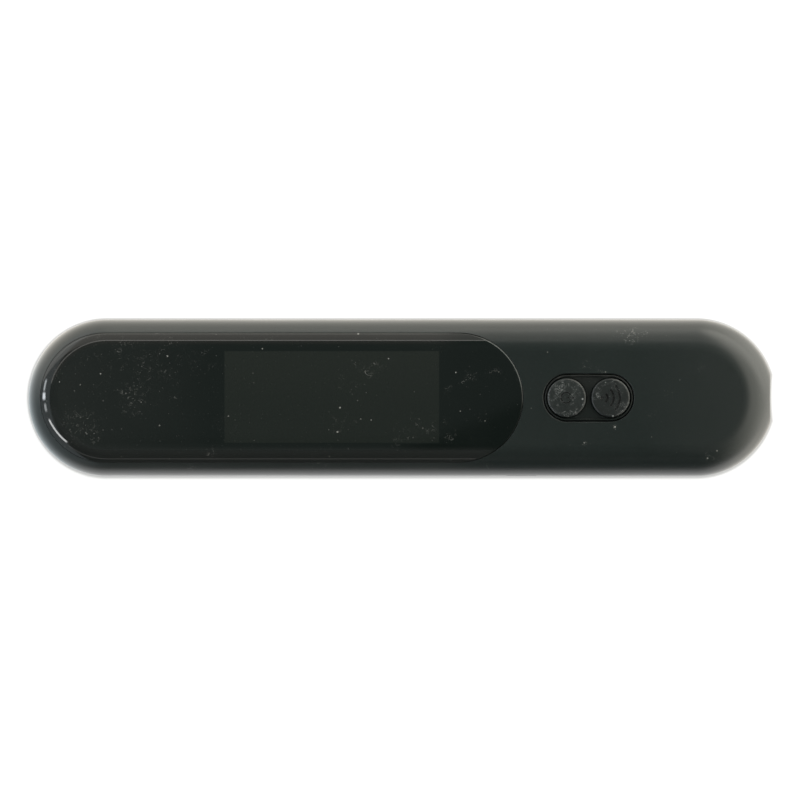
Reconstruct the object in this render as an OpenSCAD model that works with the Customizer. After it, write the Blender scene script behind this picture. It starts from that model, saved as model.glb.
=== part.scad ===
// Pocket mobile hotspot: a pill-shaped two-shell body with a flush display window at one
// end, a two-pad key cluster at the other, a USB-C port in the key end and a nano-SIM tray
// in the long -Y side. X runs along the body towards the port, Z is up, and the origin is
// the centre of the flat underside.

/* [Body] */
// Overall length, rounded end to port end
body_l = 150; // [149:0.5:152]
// Overall width
body_w = 31.6; // [31.2:0.2:32.4]
// Overall thickness; the long edges are full half-rounds of this diameter
body_t = 13; // [12.8:0.1:13.4]
// Shell wall thickness
wall = 1.5; // [1.4:0.05:1.6]
// Depth cut off the port end's round tip
port_cut = 0.7; // [0.5:0.05:0.9]
// Radius of the shallow scoop across the port end
scoop_r = 54; // [45:1:80]
// Depth of the fine line where the shells meet
seam_d = 0.16; // [0.08:0.02:0.24]

/* [Display window] */
// Radius of both ends of the window, half its width
win_r = 13.1; // [12.9:0.05:13.2]
// Distance from the rounded end of the body to the window's edge
win_x0 = 2.4; // [2.2:0.1:2.8]
// Distance from the rounded end of the body to the window's far edge
win_x1 = 99.9; // [99:0.1:100.4]
// Gap between the window and its seat, all round
win_gap = 0.08; // [0.06:0.01:0.16]
// Length of the display's glass
panel_l = 45.8; // [45:0.1:46]
// Width of the display's glass
panel_w = 20.4; // [20:0.1:20.6]

/* [Keys] */
// Centre of the key cluster, measured from the middle of the body
key_x = 38.1; // [37.8:0.1:38.4]
// Distance between the two pads
key_pitch = 8.85; // [8.8:0.01:8.95]
// Radius of one pad
pad_r = 3.92; // [3.85:0.01:3.94]
// Length of the opening for the cluster
key_l = 18.3; // [18.2:0.1:18.6]
// Width of the opening for the cluster
key_w = 9.7; // [9.6:0.1:9.9]
// How far the pads stand above the top face
pad_rise = 0.45; // [0.35:0.05:0.6]

/* [Port and tray] */
// Width of the USB-C opening
port_w = 9.2; // [9.1:0.05:9.3]
// Height of the USB-C opening
port_h = 3.5; // [3.4:0.05:3.6]
// Centre of the SIM tray, measured from the middle of the body
sim_x = 24.5; // [24.3:0.1:24.7]
// Width of the tray's outer face
sim_face_w = 12.6; // [12.4:0.1:12.8]
// Height of the tray's outer face
sim_face_h = 1.7; // [1.6:0.05:1.8]

/* [Fasteners] */
// Radius of the shell screws' shanks
screw_r = 0.8; // [0.75:0.01:0.81]
// Radius of the shell screws' heads
head_r = 1.45; // [1.3:0.05:1.5]

/* [Hidden] */
$fn = 96;
eps = 0.01;                    // small overlap or gap between faces

end_r = body_w / 2;            // plan radius of both ends
edge_r = body_t / 2;           // radius of the half-round edge
flat_r = end_r - edge_r;       // plan radius of the flat faces' ends
mid_z = body_t / 2;            // where the shells meet
roof_z = body_t - wall;        // inside of the top wall
round_x = -body_l / 2 + end_r; // centre of the rounded end
port_x = body_l / 2 + port_cut - end_r; // centre of the port end
port_face_x = body_l / 2 - 0.2; // deepest point of the scoop
seam_h = 0.08;                 // height of the fine line in each shell

win_l = win_x1 - win_x0;
win_mid_x = -body_l / 2 + (win_x0 + win_x1) / 2;
win_z = body_t - 1.8;          // underside of the window
seat_z = win_z - 0.2;          // face that the window's adhesive sits on
ledge_z = seat_z - 1;          // underside of that seat
panel_x0 = -36.6;              // rounded-end side of the display glass
panel_x1 = panel_x0 + panel_l;
panel_z = seat_z + 0.1 - 1.35; // underside of the display glass
panel_gap = 0.35;

pcb_z = 7.2;
pcb_t = 0.8;
pcb_top = pcb_z + pcb_t;
pcb_x0 = 14.6;
pcb_r = end_r - wall - 0.9;

bezel_flange_z = roof_z - 0.6;
cap_flange_z = bezel_flange_z - 0.65;
plunger_top = cap_flange_z - 0.25;

// Places [x, y] of the shell screws and of the board's screws
case_pts = [[round_x - 9.1, 0], [12.3, 9], [12.3, -9], [port_x + 5.6, 7.3], [port_x + 5.6, -7.3]];
board_pts = [[34.2, 11.1], [34.2, -11.1], [62, 10.3], [62, -10.3]];
boss_joint = 6.9;              // where the lower and upper screw bosses meet
insert_l = 3;

black = [0.13, 0.14, 0.14];
gloss = [0.07, 0.08, 0.08];
key_grey = [0.16, 0.17, 0.17];
steel = [0.72, 0.73, 0.74];
brass = [0.80, 0.66, 0.36];
amber = [0.62, 0.40, 0.14];
board_green = [0.06, 0.16, 0.12];

// ---- shared shapes ----

// 2D slot shape with round ends, by overall length and end radius
module stadium(length, radius) {
  square([length - 2 * radius, 2 * radius], center = true);
  for (side = [-1, 1]) translate([side * (length / 2 - radius), 0]) circle(radius);
}

// Upright prism of that shape, centred on x
module slot_prism(x, length, radius, z0, z1) {
  translate([x, 0, z0]) linear_extrude(z1 - z0) stadium(length, radius);
}

// Slot shape that tapers evenly from the base radius to the top radius
module slot_taper(length, base_r, top_r, height) {
  straight = length - 2 * base_r;
  for (side = [-1, 1]) translate([side * straight / 2, 0, 0])
    cylinder(h = height, r1 = base_r, r2 = top_r);
  rotate([90, 0, 90]) linear_extrude(straight, center = true)
    polygon([[-base_r, 0], [base_r, 0], [top_r, height], [-top_r, height]]);
}

// Box that starts at x and z and is centred across the body
module block(x, z, size) translate([x, -size[1] / 2, z]) cube(size);

// Copies of the children at a list of [x, y] places
module at_points(points, z) {
  for (point = points) translate([point[0], point[1], z]) children();
}

// The body's outer form, shrunk by inset all over
module pill(inset = 0) {
  radius = edge_r - inset;
  for (end = [[round_x, 90], [port_x, -90]]) translate([end[0], 0, 0])
    rotate([0, 0, end[1]]) rotate_extrude(angle = 180) pill_half(radius);
  translate([round_x, 0, 0]) rotate([90, 0, 90]) linear_extrude(port_x - round_x) {
    translate([-flat_r, mid_z - radius]) square([2 * flat_r, 2 * radius]);
    for (side = [-1, 1]) translate([side * flat_r, mid_z]) circle(radius);
  }
}

// Half of the body's cross-section, on the positive side of the axis
module pill_half(radius) {
  translate([0, mid_z - radius]) square([flat_r, 2 * radius]);
  intersection() {
    translate([flat_r, mid_z]) circle(radius);
    translate([flat_r - eps, mid_z - radius - 1]) square([radius + 1, 2 * radius + 2]);
  }
}

// Ring that follows the body in plan, between two distances in from its outline
module plan_ring(outer_inset, inner_inset, z0, z1) {
  mid_x = (round_x + port_x) / 2;
  length = port_x - round_x + 2 * end_r;
  difference() {
    slot_prism(mid_x, length - 2 * outer_inset, end_r - outer_inset, z0, z1);
    slot_prism(mid_x, length - 2 * inner_inset, end_r - inner_inset, z0 - 1, z1 + 1);
  }
}

// A USB-C shaped bar, run along X
module port_bar(width, height, x0, x1) {
  translate([x0, 0, mid_z]) rotate([90, 0, 90]) linear_extrude(x1 - x0)
    stadium(width, height / 2);
}

// The outline of the SIM tray's face, run along Y and widened by gap all round
module sim_slot(gap, y0, y1) {
  translate([sim_x, y1, mid_z]) rotate([90, 0, 0]) linear_extrude(y1 - y0)
    stadium(sim_face_w + 2 * gap, (sim_face_h + 2 * gap) / 2);
}

// The display's plan outline widened by gap, as a box
module panel_box(gap, z, height) {
  block(panel_x0 - gap, z, [panel_l + 2 * gap, panel_w + 2 * gap, height]);
}

// A strip bent through the points [x, z] of a side view, centred on y
module ribbon(points, width, y) {
  thickness = 0.14;
  last = len(points) - 1;
  upper = [for (i = [last:-1:0]) [points[i][0], points[i][1] + thickness]];
  rotate([90, 0, 0]) translate([0, 0, -y]) linear_extrude(width, center = true)
    polygon(concat(points, upper));
}

// ---- shells ----

tongue_inset = 0.85;           // from the body's outline to the tongue
tongue_drop = 0.75;            // how far it reaches below the parting plane
tongue_gap = 0.07;
key_chamfer = 0.15;

// 20 mm deep slab that covers the body, from z up
module slab(z) translate([-100, -50, z]) cube([200, 100, 20]);

// The hollow inside the upper shell, with the window's seat left in
module upper_hollow() difference() {
  pill(wall);
  slot_prism(win_mid_x, win_l + 2.4, win_r + 1.2, ledge_z, body_t + 1);
}

// What the port end loses: the scoop, the opening, its flared mouth and the seam line
module port_cuts() {
  flare = 0.4;
  translate([port_face_x + scoop_r, 0, -1]) cylinder(h = body_t + 2, r = scoop_r, $fn = 256);
  port_bar(port_w, port_h, port_x + 9, body_l / 2 + 3);
  translate([body_l / 2 - 0.42, 0, mid_z]) rotate([90, 0, 90])
    slot_taper(port_w, port_h / 2, port_h / 2 + flare, 2 * flare);
  block(port_face_x - seam_d, mid_z - seam_h, [2, 9.9, 2 * seam_h]);
}

// Openings cut through both shells
module shell_openings() {
  port_cuts();
  sim_slot(0.1, -17, -13);
}

module top_housing() color(black) difference() {
  union() {
    difference() {
      intersection() {
        pill();
        slab(mid_z);
      }
      upper_hollow();
    }
    // tongue that drops inside the lower shell's rim
    plan_ring(tongue_inset, wall, mid_z - tongue_drop, mid_z + 0.5);
    // screw bosses down from the roof, shorter under the window
    for (point = case_pts) translate([point[0], point[1], boss_joint])
      cylinder(h = roof_z - boss_joint - (point[0] < 0 ? 1.2 : 0), r = 1.7);
    at_points(board_pts, pcb_top) cylinder(h = 3.1, r = 1.6);
    // stops for the key frame
    for (side = [-1, 1])
      block(key_x + side * (key_l / 2 + 1.75) - 0.5, roof_z - 0.9, [1, 8, 1]);
  }
  // window seat and the hole for the display
  slot_prism(win_mid_x, win_l + 2 * win_gap, win_r + win_gap, seat_z, body_t + 1);
  panel_box(panel_gap, ledge_z - 1, 4);
  // key opening with a fine flared edge
  slot_prism(key_x, key_l, key_w / 2, roof_z - 2, body_t + 1);
  translate([key_x, 0, body_t - key_chamfer])
    slot_taper(key_l, key_w / 2, key_w / 2 + 2 * key_chamfer, 2 * key_chamfer);
  shell_openings();
  plan_ring(-1, seam_d, mid_z - eps, mid_z + seam_h);
  // holes for the inserts and for the board's screws
  at_points(case_pts, boss_joint - 1) cylinder(h = insert_l + 1.1, r = 1.1);
  at_points(board_pts, pcb_top - 1) cylinder(h = 3.4, r = 0.62);
}

module bottom_housing() color(black) difference() {
  union() {
    difference() {
      intersection() {
        pill();
        slab(mid_z - 20);
      }
      pill(wall);
    }
    at_points(case_pts, 0.2) cylinder(h = boss_joint - 0.3, r = 2.3);
    // rails along the battery's sides and two stops at its rounded-end side
    for (side = [-1, 1]) translate([-62, side * 12.45 - 0.4, 3.2]) cube([64, 0.8, 2.2]);
    for (y = [-7, 7]) translate([-63.7, y - 1.5, 1.3]) cube([0.8, 3, 4.2]);
  }
  // rabbet for the upper shell's tongue
  plan_ring(tongue_inset - tongue_gap, wall + 0.06, mid_z - tongue_drop - tongue_gap, mid_z + 1);
  shell_openings();
  plan_ring(-1, seam_d, mid_z - seam_h, mid_z + eps);
  // counterbores and clearance holes for the shell screws
  at_points(case_pts, -1) {
    cylinder(h = 2.3, r = head_r + 0.12);
    cylinder(h = 12, r = 0.92);
  }
}

// ---- display ----

rear_glass_t = 0.55;
front_glass_t = 0.6;

module display_window() color(gloss) intersection() {
  pill();
  slot_prism(win_mid_x, win_l, win_r, win_z, body_t + 1);
}

module window_adhesive() color("black") difference() {
  slot_prism(win_mid_x, win_l - 1, win_r - 0.5, seat_z + eps, win_z - eps);
  panel_box(0.6, 0, 20);
}

module display_panel() color([0.10, 0.11, 0.11]) {
  rear_top = panel_z + rear_glass_t;
  // rear glass, front glass, polariser, then the driver on the rear glass's ledge
  block(panel_x0, panel_z, [panel_l, panel_w, rear_glass_t]);
  block(panel_x0 + 0.2, rear_top - eps, [panel_l - 2.4, panel_w - 0.3, front_glass_t]);
  block(panel_x0 + 0.7, rear_top + front_glass_t - 2 * eps, [panel_l - 3.2, panel_w - 1.2, 0.15]);
  block(panel_x1 - 1.8, rear_top - eps, [1, 12, 0.25]);
}

module display_cushion() color([0.20, 0.20, 0.20])
  block(panel_x0 + 1.5, panel_z - 0.72, [panel_l - 4, 18, 0.7]);

// Strip from under the display's glass to its connector on the board
module display_flex() color(amber) {
  start_z = panel_z - 0.16;
  end_z = pcb_top + 0.98;
  ribbon([[panel_x1 - 1.6, start_z], [panel_x1 + 1.2, start_z], [15, end_z], [19.3, end_z]],
    width = 7, y = -2);
}

// ---- keys ----

bezel_gap = 0.3;               // between the key frame and its opening
bezel_top = body_t + 0.05;
bezel_bevel = 0.18;
cap_flange_r = 4.28;
cap_flange_t = 0.6;
plunger_l = 1.05;

// Moves its children to the pad on the -X (-1) or +X (1) side of the cluster
module at_pad(side, z = 0) translate([key_x + side * key_pitch / 2, 0, z]) children();

module key_bezel() color(black) difference() {
  length = key_l - 2 * bezel_gap;
  radius = key_w / 2 - bezel_gap;
  bevel_z = bezel_top - bezel_bevel;
  union() {
    slot_prism(key_x, length, radius, bezel_flange_z + 0.3, bevel_z);
    // bevelled rim
    difference() {
      slot_prism(key_x, length, radius, bevel_z - eps, bezel_top);
      difference() {
        block(key_x - 20, bevel_z, [40, 20, 1]);
        translate([key_x, 0, bevel_z])
          slot_taper(length, radius, radius - bezel_bevel, bezel_bevel);
      }
    }
    slot_prism(key_x, key_l + 2.1, key_w / 2 + 1.05, bezel_flange_z, roof_z - 0.02);
  }
  for (side = [-1, 1]) at_pad(side) cylinder(h = 20, r = pad_r + 0.13);
}

// One pad: cap with a soft top edge, a retaining flange and a nub that presses the switch
module key_cap(side) {
  cap_h = body_t + pad_rise - cap_flange_z;
  at_pad(side, cap_flange_z) rotate_extrude() polygon([
    [0, 0], [cap_flange_r, 0], [cap_flange_r, cap_flange_t], [pad_r, cap_flange_t],
    [pad_r, cap_h - 0.34], [pad_r - 0.05, cap_h - 0.19], [pad_r - 0.16, cap_h - 0.08],
    [pad_r - 0.34, cap_h - 0.02], [0, cap_h]]);
  at_pad(side, plunger_top + 0.02) cylinder(h = 0.4, r = 1.2);
}

module power_button() color(key_grey) key_cap(-1);
module wifi_button() color(key_grey) key_cap(1);

module switch_bodies() color([0.10, 0.10, 0.10])
  for (side = [-1, 1]) at_pad(side, pcb_top + eps) difference() {
    union() {
      block(-2.3, 0, [4.6, 4.6, 1.35]);
      cylinder(h = 1.5, r = 1.7);
      // solder legs
      for (y = [-1.6, 1.6]) translate([-2.9, y - 0.3, 0]) cube([5.8, 0.6, 0.15]);
    }
    translate([0, 0, 0.5]) cylinder(h = 3, r = 1.08);
  }

module switch_plunger(side) at_pad(side, plunger_top - plunger_l) cylinder(h = plunger_l, r = 1);

module power_switch_plunger() color(steel) switch_plunger(-1);
module wifi_switch_plunger() color(steel) switch_plunger(1);

// ---- electronics ----

aerial_socket = [20.2, 10.6];  // coaxial socket's [x, y] on the board
modem_pcb_t = 0.8;
modem_chip_h = 1.1;
modem_can_h = 2.4;
can_t = 0.2;                   // sheet thickness of both shields
spreader_t = 0.55;

module main_board() color(board_green) difference() {
  union() {
    block(pcb_x0, pcb_z, [port_x - pcb_x0, 2 * pcb_r, pcb_t]);
    translate([port_x, 0, pcb_z]) cylinder(h = pcb_t, r = pcb_r);
  }
  // notch for the port, holes for the shell bosses and for the board's own screws
  block(67, pcb_z - 1, [20, 9.5, 3]);
  at_points(case_pts, pcb_z - 1) cylinder(h = 3, r = 2.05);
  at_points(board_pts, pcb_z - 1) cylinder(h = 3, r = 0.75);
}

// Boxes on the board's top; each row is [x, y, length, width, height]
module board_parts(rows) {
  for (row = rows) translate([row[0], row[1], pcb_top + eps]) cube([row[2], row[3], row[4]]);
}

module board_connectors() color([0.85, 0.82, 0.74]) {
  board_parts([
    [16.6, -5.9, 2.8, 7.8, 0.9], // display
    [16.6, 2.6, 2.6, 4, 0.9],    // battery
    [45, 11.2, 1.4, 1.6, 1.3],   // aerial spring contacts
    [53, 11.2, 1.4, 1.6, 1.3],
    [22, -12.4, 1.4, 1.6, 1.3]
  ]);
  at_points([aerial_socket], pcb_top + eps) cylinder(h = 0.7, r = 1);
}

module board_chips() color([0.09, 0.09, 0.10]) {
  board_parts([
    [21.5, -3.2, 6.2, 6.2, 0.8], // processor
    [22, 5, 4, 4, 0.75],         // charger
    [29, 6.2, 2.6, 2.6, 1.3],    // inductor
    [21.5, -8.6, 6, 3.6, 0.8],   // flash memory
    [66.1, -11, 1.6, 1.2, 0.6]
  ]);
  // small parts: a 3 by 2 grid and a row of four
  board_parts([for (i = [0:2], j = [0:1]) [29.2 + 1.5 * i, -9.6 + 1.7 * j, 0.9, 0.5, 0.45]]);
  board_parts([for (i = [0:3]) [49 + 2.2 * i, -9.6, 1, 0.5, 0.45]]);
}

module modem_module() color([0.10, 0.22, 0.32]) {
  // chips on its underside: [x, y, length, width]
  chips = [[39, -8, 9, 9], [50, -8, 8, 7], [40, 3, 7, 5], [49.5, 1.5, 8.5, 7]];
  block(37, pcb_z - modem_pcb_t, [23.4, 20.4, modem_pcb_t - eps]);
  for (chip = chips) translate([chip[0], chip[1], pcb_z - modem_pcb_t - modem_chip_h])
    cube([chip[2], chip[3], modem_chip_h + eps]);
}

module modem_shield() color(steel) difference() {
  x = 36.6;
  length = 24.2;
  width = 21.2;
  block(x, pcb_z - modem_can_h, [length, width, modem_can_h - eps]);
  block(x + can_t, pcb_z - modem_can_h + can_t, [length - 2 * can_t, width - 2 * can_t, 4]);
  // vent holes in the lid
  for (i = [0:4], j = [0:3]) translate([41 + 4 * i, -6.6 + 4.4 * j, pcb_z - 3])
    cylinder(h = 1.2, r = 0.5);
}

module wifi_shield() color(steel) difference() {
  x = 48.4;
  length = 13;
  width = 15.2;
  block(x, pcb_top + eps, [length, width, 1.6]);
  block(x + can_t, pcb_top - 1, [length - 2 * can_t, width - 2 * can_t, 2.4]);
}

module thermal_pad() color([0.62, 0.66, 0.72])
  block(39, wall + spreader_t + eps, [20, 16, pcb_z - modem_can_h - wall - spreader_t - 3 * eps]);

module heat_spreader() color([0.72, 0.45, 0.30])
  block(17, wall + eps, [46, 17.2, spreader_t]);

// ---- port and SIM tray ----

module usb_c_shell() color(steel) difference() {
  width = 8.94;
  height = 3.26;
  sheet = 0.3;
  port_bar(width, height, 67.2, 74.2);
  port_bar(width - 2 * sheet, height - 2 * sheet, 67.6, 80);
}

module usb_c_tongue() color([0.12, 0.12, 0.12]) {
  port_bar(8.3, 2.62, 67.62, 68.82);
  block(68.8, mid_z - 0.35, [4.7, 6.6, 0.7]);
}

// Box centred on the tray in X; y and z are its low corner, z from the parting plane
module sim_box(y, z, size) translate([sim_x - size[0] / 2, y, mid_z + z]) cube(size);

module sim_connector() color(steel) difference() {
  depth = 0.85;                // below the parting plane
  sim_box(-12.9, -depth, [13.4, 15, pcb_z - mid_z + depth - eps]);
  sim_box(-14, -0.65, [11.5, 15.6, 3]);
}

module sim_tray() color(black) difference() {
  union() {
    intersection() {
      pill(0.03);
      sim_slot(0, -17, -13.95);
    }
    sim_box(-14, -0.5, [11, 14.5, 1]);
  }
  // pocket for the card, and the window through its floor
  sim_box(-12.5, -0.3, [8.9, 12.4, 3]);
  sim_box(-11.7, -2, [7.6, 10.8, 4]);
  // fingernail groove
  translate([sim_x, -15.75, mid_z + 0.72]) rotate([0, 90, 0])
    cylinder(h = 6, r = 0.35, center = true);
}

module nano_sim_card() color([0.88, 0.88, 0.86]) translate([sim_x, -6.3, mid_z - 0.29])
  linear_extrude(0.66)
    polygon([[-4.4, -6.15], [4.4, -6.15], [4.4, 4.5], [2.75, 6.15], [-4.4, 6.15]]);

// ---- battery ----

cell_l = 67.6;
cell_w = 22.8;
cell_h = 6.3;
cell_ease = 1.4;               // side of the square bar that eases the long edges
guard_z = 6;                   // underside of the protection board
guard_t = 0.8;

module battery_cell() color([0.75, 0.76, 0.78]) translate([-62.2, 0, 2.5]) {
  difference() {
    block(0, 0, [cell_l, cell_w, cell_h]);
    // long edges of the pouch are eased
    for (side = [-1, 1], z = [0, cell_h]) translate([-1, side * cell_w / 2, z])
      rotate([45, 0, 0]) block(0, -cell_ease / 2, [cell_l + 2, cell_ease, cell_ease]);
  }
  // thin ledge at the end towards the port
  block(cell_l - eps, 2.9, [2.2, 21.2, 0.5]);
}

module battery_protection_board() color(board_green) {
  block(5.6, guard_z, [1.9, 16, guard_t]);
  for (y = [-6, -2, 3]) translate([5.8, y, guard_z + guard_t - eps]) cube([1.5, 2.2, 0.7]);
}

// Strip from the protection board to the battery connector
module battery_flex() color(amber) {
  start_z = 7.54;
  end_z = pcb_top + 0.96;
  ribbon([[6.2, start_z], [8.2, start_z], [14.6, end_z], [18.6, end_z]], width = 3.2, y = 4.6);
}

module battery_pad() color([0.16, 0.16, 0.17]) block(-58, wall + eps, [58, 14, 1 - 2 * eps]);

// ---- aerials ----

foil_z0 = 6.75;                // height range of the main and diversity aerials
foil_z1 = 9.4;

module antenna_carrier() color([0.17, 0.17, 0.18]) difference() {
  intersection() {
    pill(wall + 0.3);
    block(-80, 3.4, [15.4, 22, 6.2]);
  }
  // clearance for the screw boss, and a notch facing the battery
  at_points([case_pts[0]], 0) cylinder(h = 12, r = 2.5);
  block(-66.6, 3, [3, 6, 8]);
}

// Thin conductor on the body's inner wall, inside the box between two corners
module wall_foil(low, high) intersection() {
  difference() {
    pill(wall + 0.04);
    pill(wall + 0.18);
  }
  translate(low) cube(high - low);
}

module main_antenna() color(brass) difference() {
  wall_foil([-76, -9.5, foil_z0], [-66, 9.5, foil_z1]);
  translate([-80, -6, 7.7]) cube([12, 9, 0.6]);
  translate([-80, 4.5, 8.5]) cube([15, 0.6, 3]);
}

module diversity_antenna() color(brass) difference() {
  wall_foil([-50, -16, foil_z0], [-14, -12, foil_z1]);
  translate([-46, -20, 7.7]) cube([28, 8, 0.5]);
}

module wifi_antenna() color(brass) difference() {
  wall_foil([40, 11, 8.5], [58, 16, 10.8]);
  translate([42, 10, 9.4]) cube([13, 8, 0.5]);
}

module antenna_coax() color([0.20, 0.20, 0.21]) {
  cable_r = 0.45;
  bend_r = 1.4;
  y = 12.8;
  z = pcb_top + 1.2;
  bend_x = aerial_socket[0] - bend_r;
  bend_y = y - bend_r;
  // round the end wall from the aerial, along the side, then a bend to the board's socket
  translate([round_x, 0, z]) rotate([0, 0, 90]) rotate_extrude(angle = 25)
    translate([y, 0]) circle(cable_r);
  translate([round_x, y, z]) rotate([0, 90, 0]) cylinder(h = bend_x - round_x, r = cable_r);
  translate([bend_x, bend_y, z]) rotate_extrude(angle = 90)
    translate([bend_r, 0]) circle(cable_r);
  translate([aerial_socket[0], bend_y, z]) rotate([90, 0, 0])
    cylinder(h = bend_y - aerial_socket[1], r = cable_r);
  // plug
  at_points([aerial_socket], pcb_top + 0.73) cylinder(h = 1, r = 1.15);
}

// ---- fasteners ----

module screw_inserts() color(brass) at_points(case_pts, boss_joint + 0.05) difference() {
  cylinder(h = insert_l, r = 1.085);
  translate([0, 0, -1]) cylinder(h = insert_l + 2, r = screw_r + 0.02);
}

// Head at the bottom with a cross recess, and a plain shank above it
module screw(head_radius, head_h, shank_r, shank_l) {
  difference() {
    cylinder(h = head_h, r = head_radius);
    for (angle = [0, 90]) rotate([0, 0, angle])
      block(-head_radius * 0.6, -eps, [head_radius * 1.2, 0.32, head_h * 0.55]);
  }
  translate([0, 0, head_h - eps]) cylinder(h = shank_l, r = shank_r);
}

module case_screws() color(steel) at_points(case_pts, 0.35)
  screw(head_radius = head_r, head_h = 0.93, shank_r = screw_r, shank_l = 8);

module board_screws() color(steel) at_points(board_pts, pcb_z - 0.72)
  screw(head_radius = 1.2, head_h = 0.7, shank_r = 0.6, shank_l = 3.05);

top_housing();
bottom_housing();
display_window();
window_adhesive();
display_panel();
display_cushion();
display_flex();
key_bezel();
power_button();
wifi_button();
switch_bodies();
power_switch_plunger();
wifi_switch_plunger();
main_board();
board_connectors();
board_chips();
modem_module();
modem_shield();
wifi_shield();
thermal_pad();
heat_spreader();
usb_c_shell();
usb_c_tongue();
sim_connector();
sim_tray();
nano_sim_card();
battery_cell();
battery_protection_board();
battery_flex();
battery_pad();
antenna_carrier();
main_antenna();
diversity_antenna();
wifi_antenna();
antenna_coax();
screw_inserts();
case_screws();
board_screws();
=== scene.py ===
"""Looks of a pocket mobile router: a slot-shaped casing lying flat, its length along X and its top up (+Z).

The port end is at +X and the card tray on the -Y side. A smoked window covers most of the top, and two
round keys, power and Wi-Fi, sit between it and the port end. The geometry is written in millimetres and
turned to metres when a mesh is built; shader coordinates are in metres.
"""
import bpy
import math
import numpy as np
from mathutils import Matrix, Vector
from mathutils.geometry import delaunay_2d_cdt


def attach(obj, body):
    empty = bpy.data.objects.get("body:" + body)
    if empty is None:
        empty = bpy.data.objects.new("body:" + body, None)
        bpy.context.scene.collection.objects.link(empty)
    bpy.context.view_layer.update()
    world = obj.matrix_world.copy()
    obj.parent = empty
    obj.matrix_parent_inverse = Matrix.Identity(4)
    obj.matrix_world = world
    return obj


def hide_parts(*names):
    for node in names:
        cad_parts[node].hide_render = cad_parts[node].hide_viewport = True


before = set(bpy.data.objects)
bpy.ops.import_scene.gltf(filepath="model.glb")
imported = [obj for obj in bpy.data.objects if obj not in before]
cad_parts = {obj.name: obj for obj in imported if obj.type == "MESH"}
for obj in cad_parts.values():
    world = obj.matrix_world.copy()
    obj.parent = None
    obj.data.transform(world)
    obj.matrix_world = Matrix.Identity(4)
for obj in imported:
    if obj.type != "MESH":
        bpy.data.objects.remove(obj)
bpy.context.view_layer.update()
MM = 0.001

# ---------------------------------------------------------------------------
# Driving sizes, mm
# ---------------------------------------------------------------------------

THICKNESS = 13.0
MID = THICKNESS / 2                     # height where the two shells meet
END_R, EDGE_R = 15.8, 6.5               # plan radius of the ends, radius of the half-round edge
FLAT_R = END_R - EDGE_R                 # half width of the flat top
LEFT_X, RIGHT_X = -75.0 + END_R, 75.7 - END_R   # ends of the middle line
WALL = 1.5
INNER_R = EDGE_R - WALL
SCOOP_X, SCOOP_R = 74.8, 54.0           # shallow hollow in the port end: its deepest x, its radius
SCOOP_BLEND = 0.30

WINDOW_X, WINDOW_LENGTH, WINDOW_R = -23.85, 97.5, 13.1
SEAT_LENGTH, SEAT_R = WINDOW_LENGTH + 0.05, 13.125
KEY_X, KEY_LENGTH, KEY_WIDTH, PITCH = 38.1, 18.3, 9.7, 8.85
KEY_CENTRES = (KEY_X - PITCH / 2, KEY_X + PITCH / 2)
PAD_R, PAD_TOP, PAD_SOFT = 3.93, 13.45, 0.42    # PAD_SOFT rounds the upper edge
PAD_SEGMENTS = 128
TRAY_X, TRAY_WIDTH, TRAY_HEIGHT = 24.5, 12.8, 1.9
PORT_WIDTH, PORT_HEIGHT = 9.2, 3.5
SCREW_R = 1.57
SCREWS = [(LEFT_X - 9.1, 0.0), (12.3, 9.0), (12.3, -9.0), (RIGHT_X + 5.6, 7.3), (RIGHT_X + 5.6, -7.3)]

# ---------------------------------------------------------------------------
# Node graphs written as expressions
# ---------------------------------------------------------------------------


class Val:
    """An output socket that can be used in arithmetic."""

    def __init__(self, tree, socket):
        self.tree, self.socket = tree, socket

    def other(self, key):
        """Another output of the same node."""
        outputs = self.socket.node.outputs
        return Val(self.tree, outputs[key])

    def __add__(a, b): return calc("ADD", a, b)
    def __radd__(a, b): return calc("ADD", b, a)
    def __sub__(a, b): return calc("SUBTRACT", a, b)
    def __rsub__(a, b): return calc("SUBTRACT", b, a)
    def __mul__(a, b): return calc("MULTIPLY", a, b)
    def __rmul__(a, b): return calc("MULTIPLY", b, a)
    def __truediv__(a, b): return calc("DIVIDE", a, b)
    def __neg__(a): return calc("MULTIPLY", a, -1.0)
    def __abs__(a): return calc("ABSOLUTE", a)


def node(tree, kind, inputs=(), **props):
    """A new node. inputs holds links, numbers or RGB colours, in order or by socket name or index."""
    made = tree.nodes.new(kind)
    for key, value in props.items():
        setattr(made, key, value)
    for key, value in inputs.items() if isinstance(inputs, dict) else enumerate(inputs):
        if isinstance(value, Val):
            tree.links.new(value.socket, made.inputs[key])
        elif isinstance(value, (tuple, list)):
            made.inputs[key].default_value = (*value, 1.0)
        else:
            made.inputs[key].default_value = value
    return made


def add(tree, kind, inputs=(), output=0, **props):
    return Val(tree, node(tree, kind, inputs, **props).outputs[output])


def calc(operation, *inputs, clamp=False):
    tree = next(v.tree for v in inputs if isinstance(v, Val))
    return add(tree, "ShaderNodeMath", inputs, operation=operation, use_clamp=clamp)


def least(a, b): return calc("MINIMUM", a, b)
def most(a, b): return calc("MAXIMUM", a, b)
def clamp(a): return calc("ADD", a, 0.0, clamp=True)
def length(a, b): return calc("SQRT", a * a + b * b)


def step(value, start, end, before=0.0, after=1.0, smooth=True):
    """before up to start, after beyond end, eased between; start may be above end."""
    if start > end:
        start, end, before, after = end, start, after, before
    return add(value.tree, "ShaderNodeMapRange", (value, start, end, before, after),
               interpolation_type="SMOOTHSTEP" if smooth else "LINEAR", clamp=True)


def step_mm(value, start, end, smooth=True):
    """A step between two places given in millimetres."""
    return step(value, start * MM, end * MM, smooth=smooth)


def contour(value, level, wide, thin):
    """A thin line where value is near level: 0 further than wide, 1 nearer than thin."""
    return step(abs(value - level), wide, thin)


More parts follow.
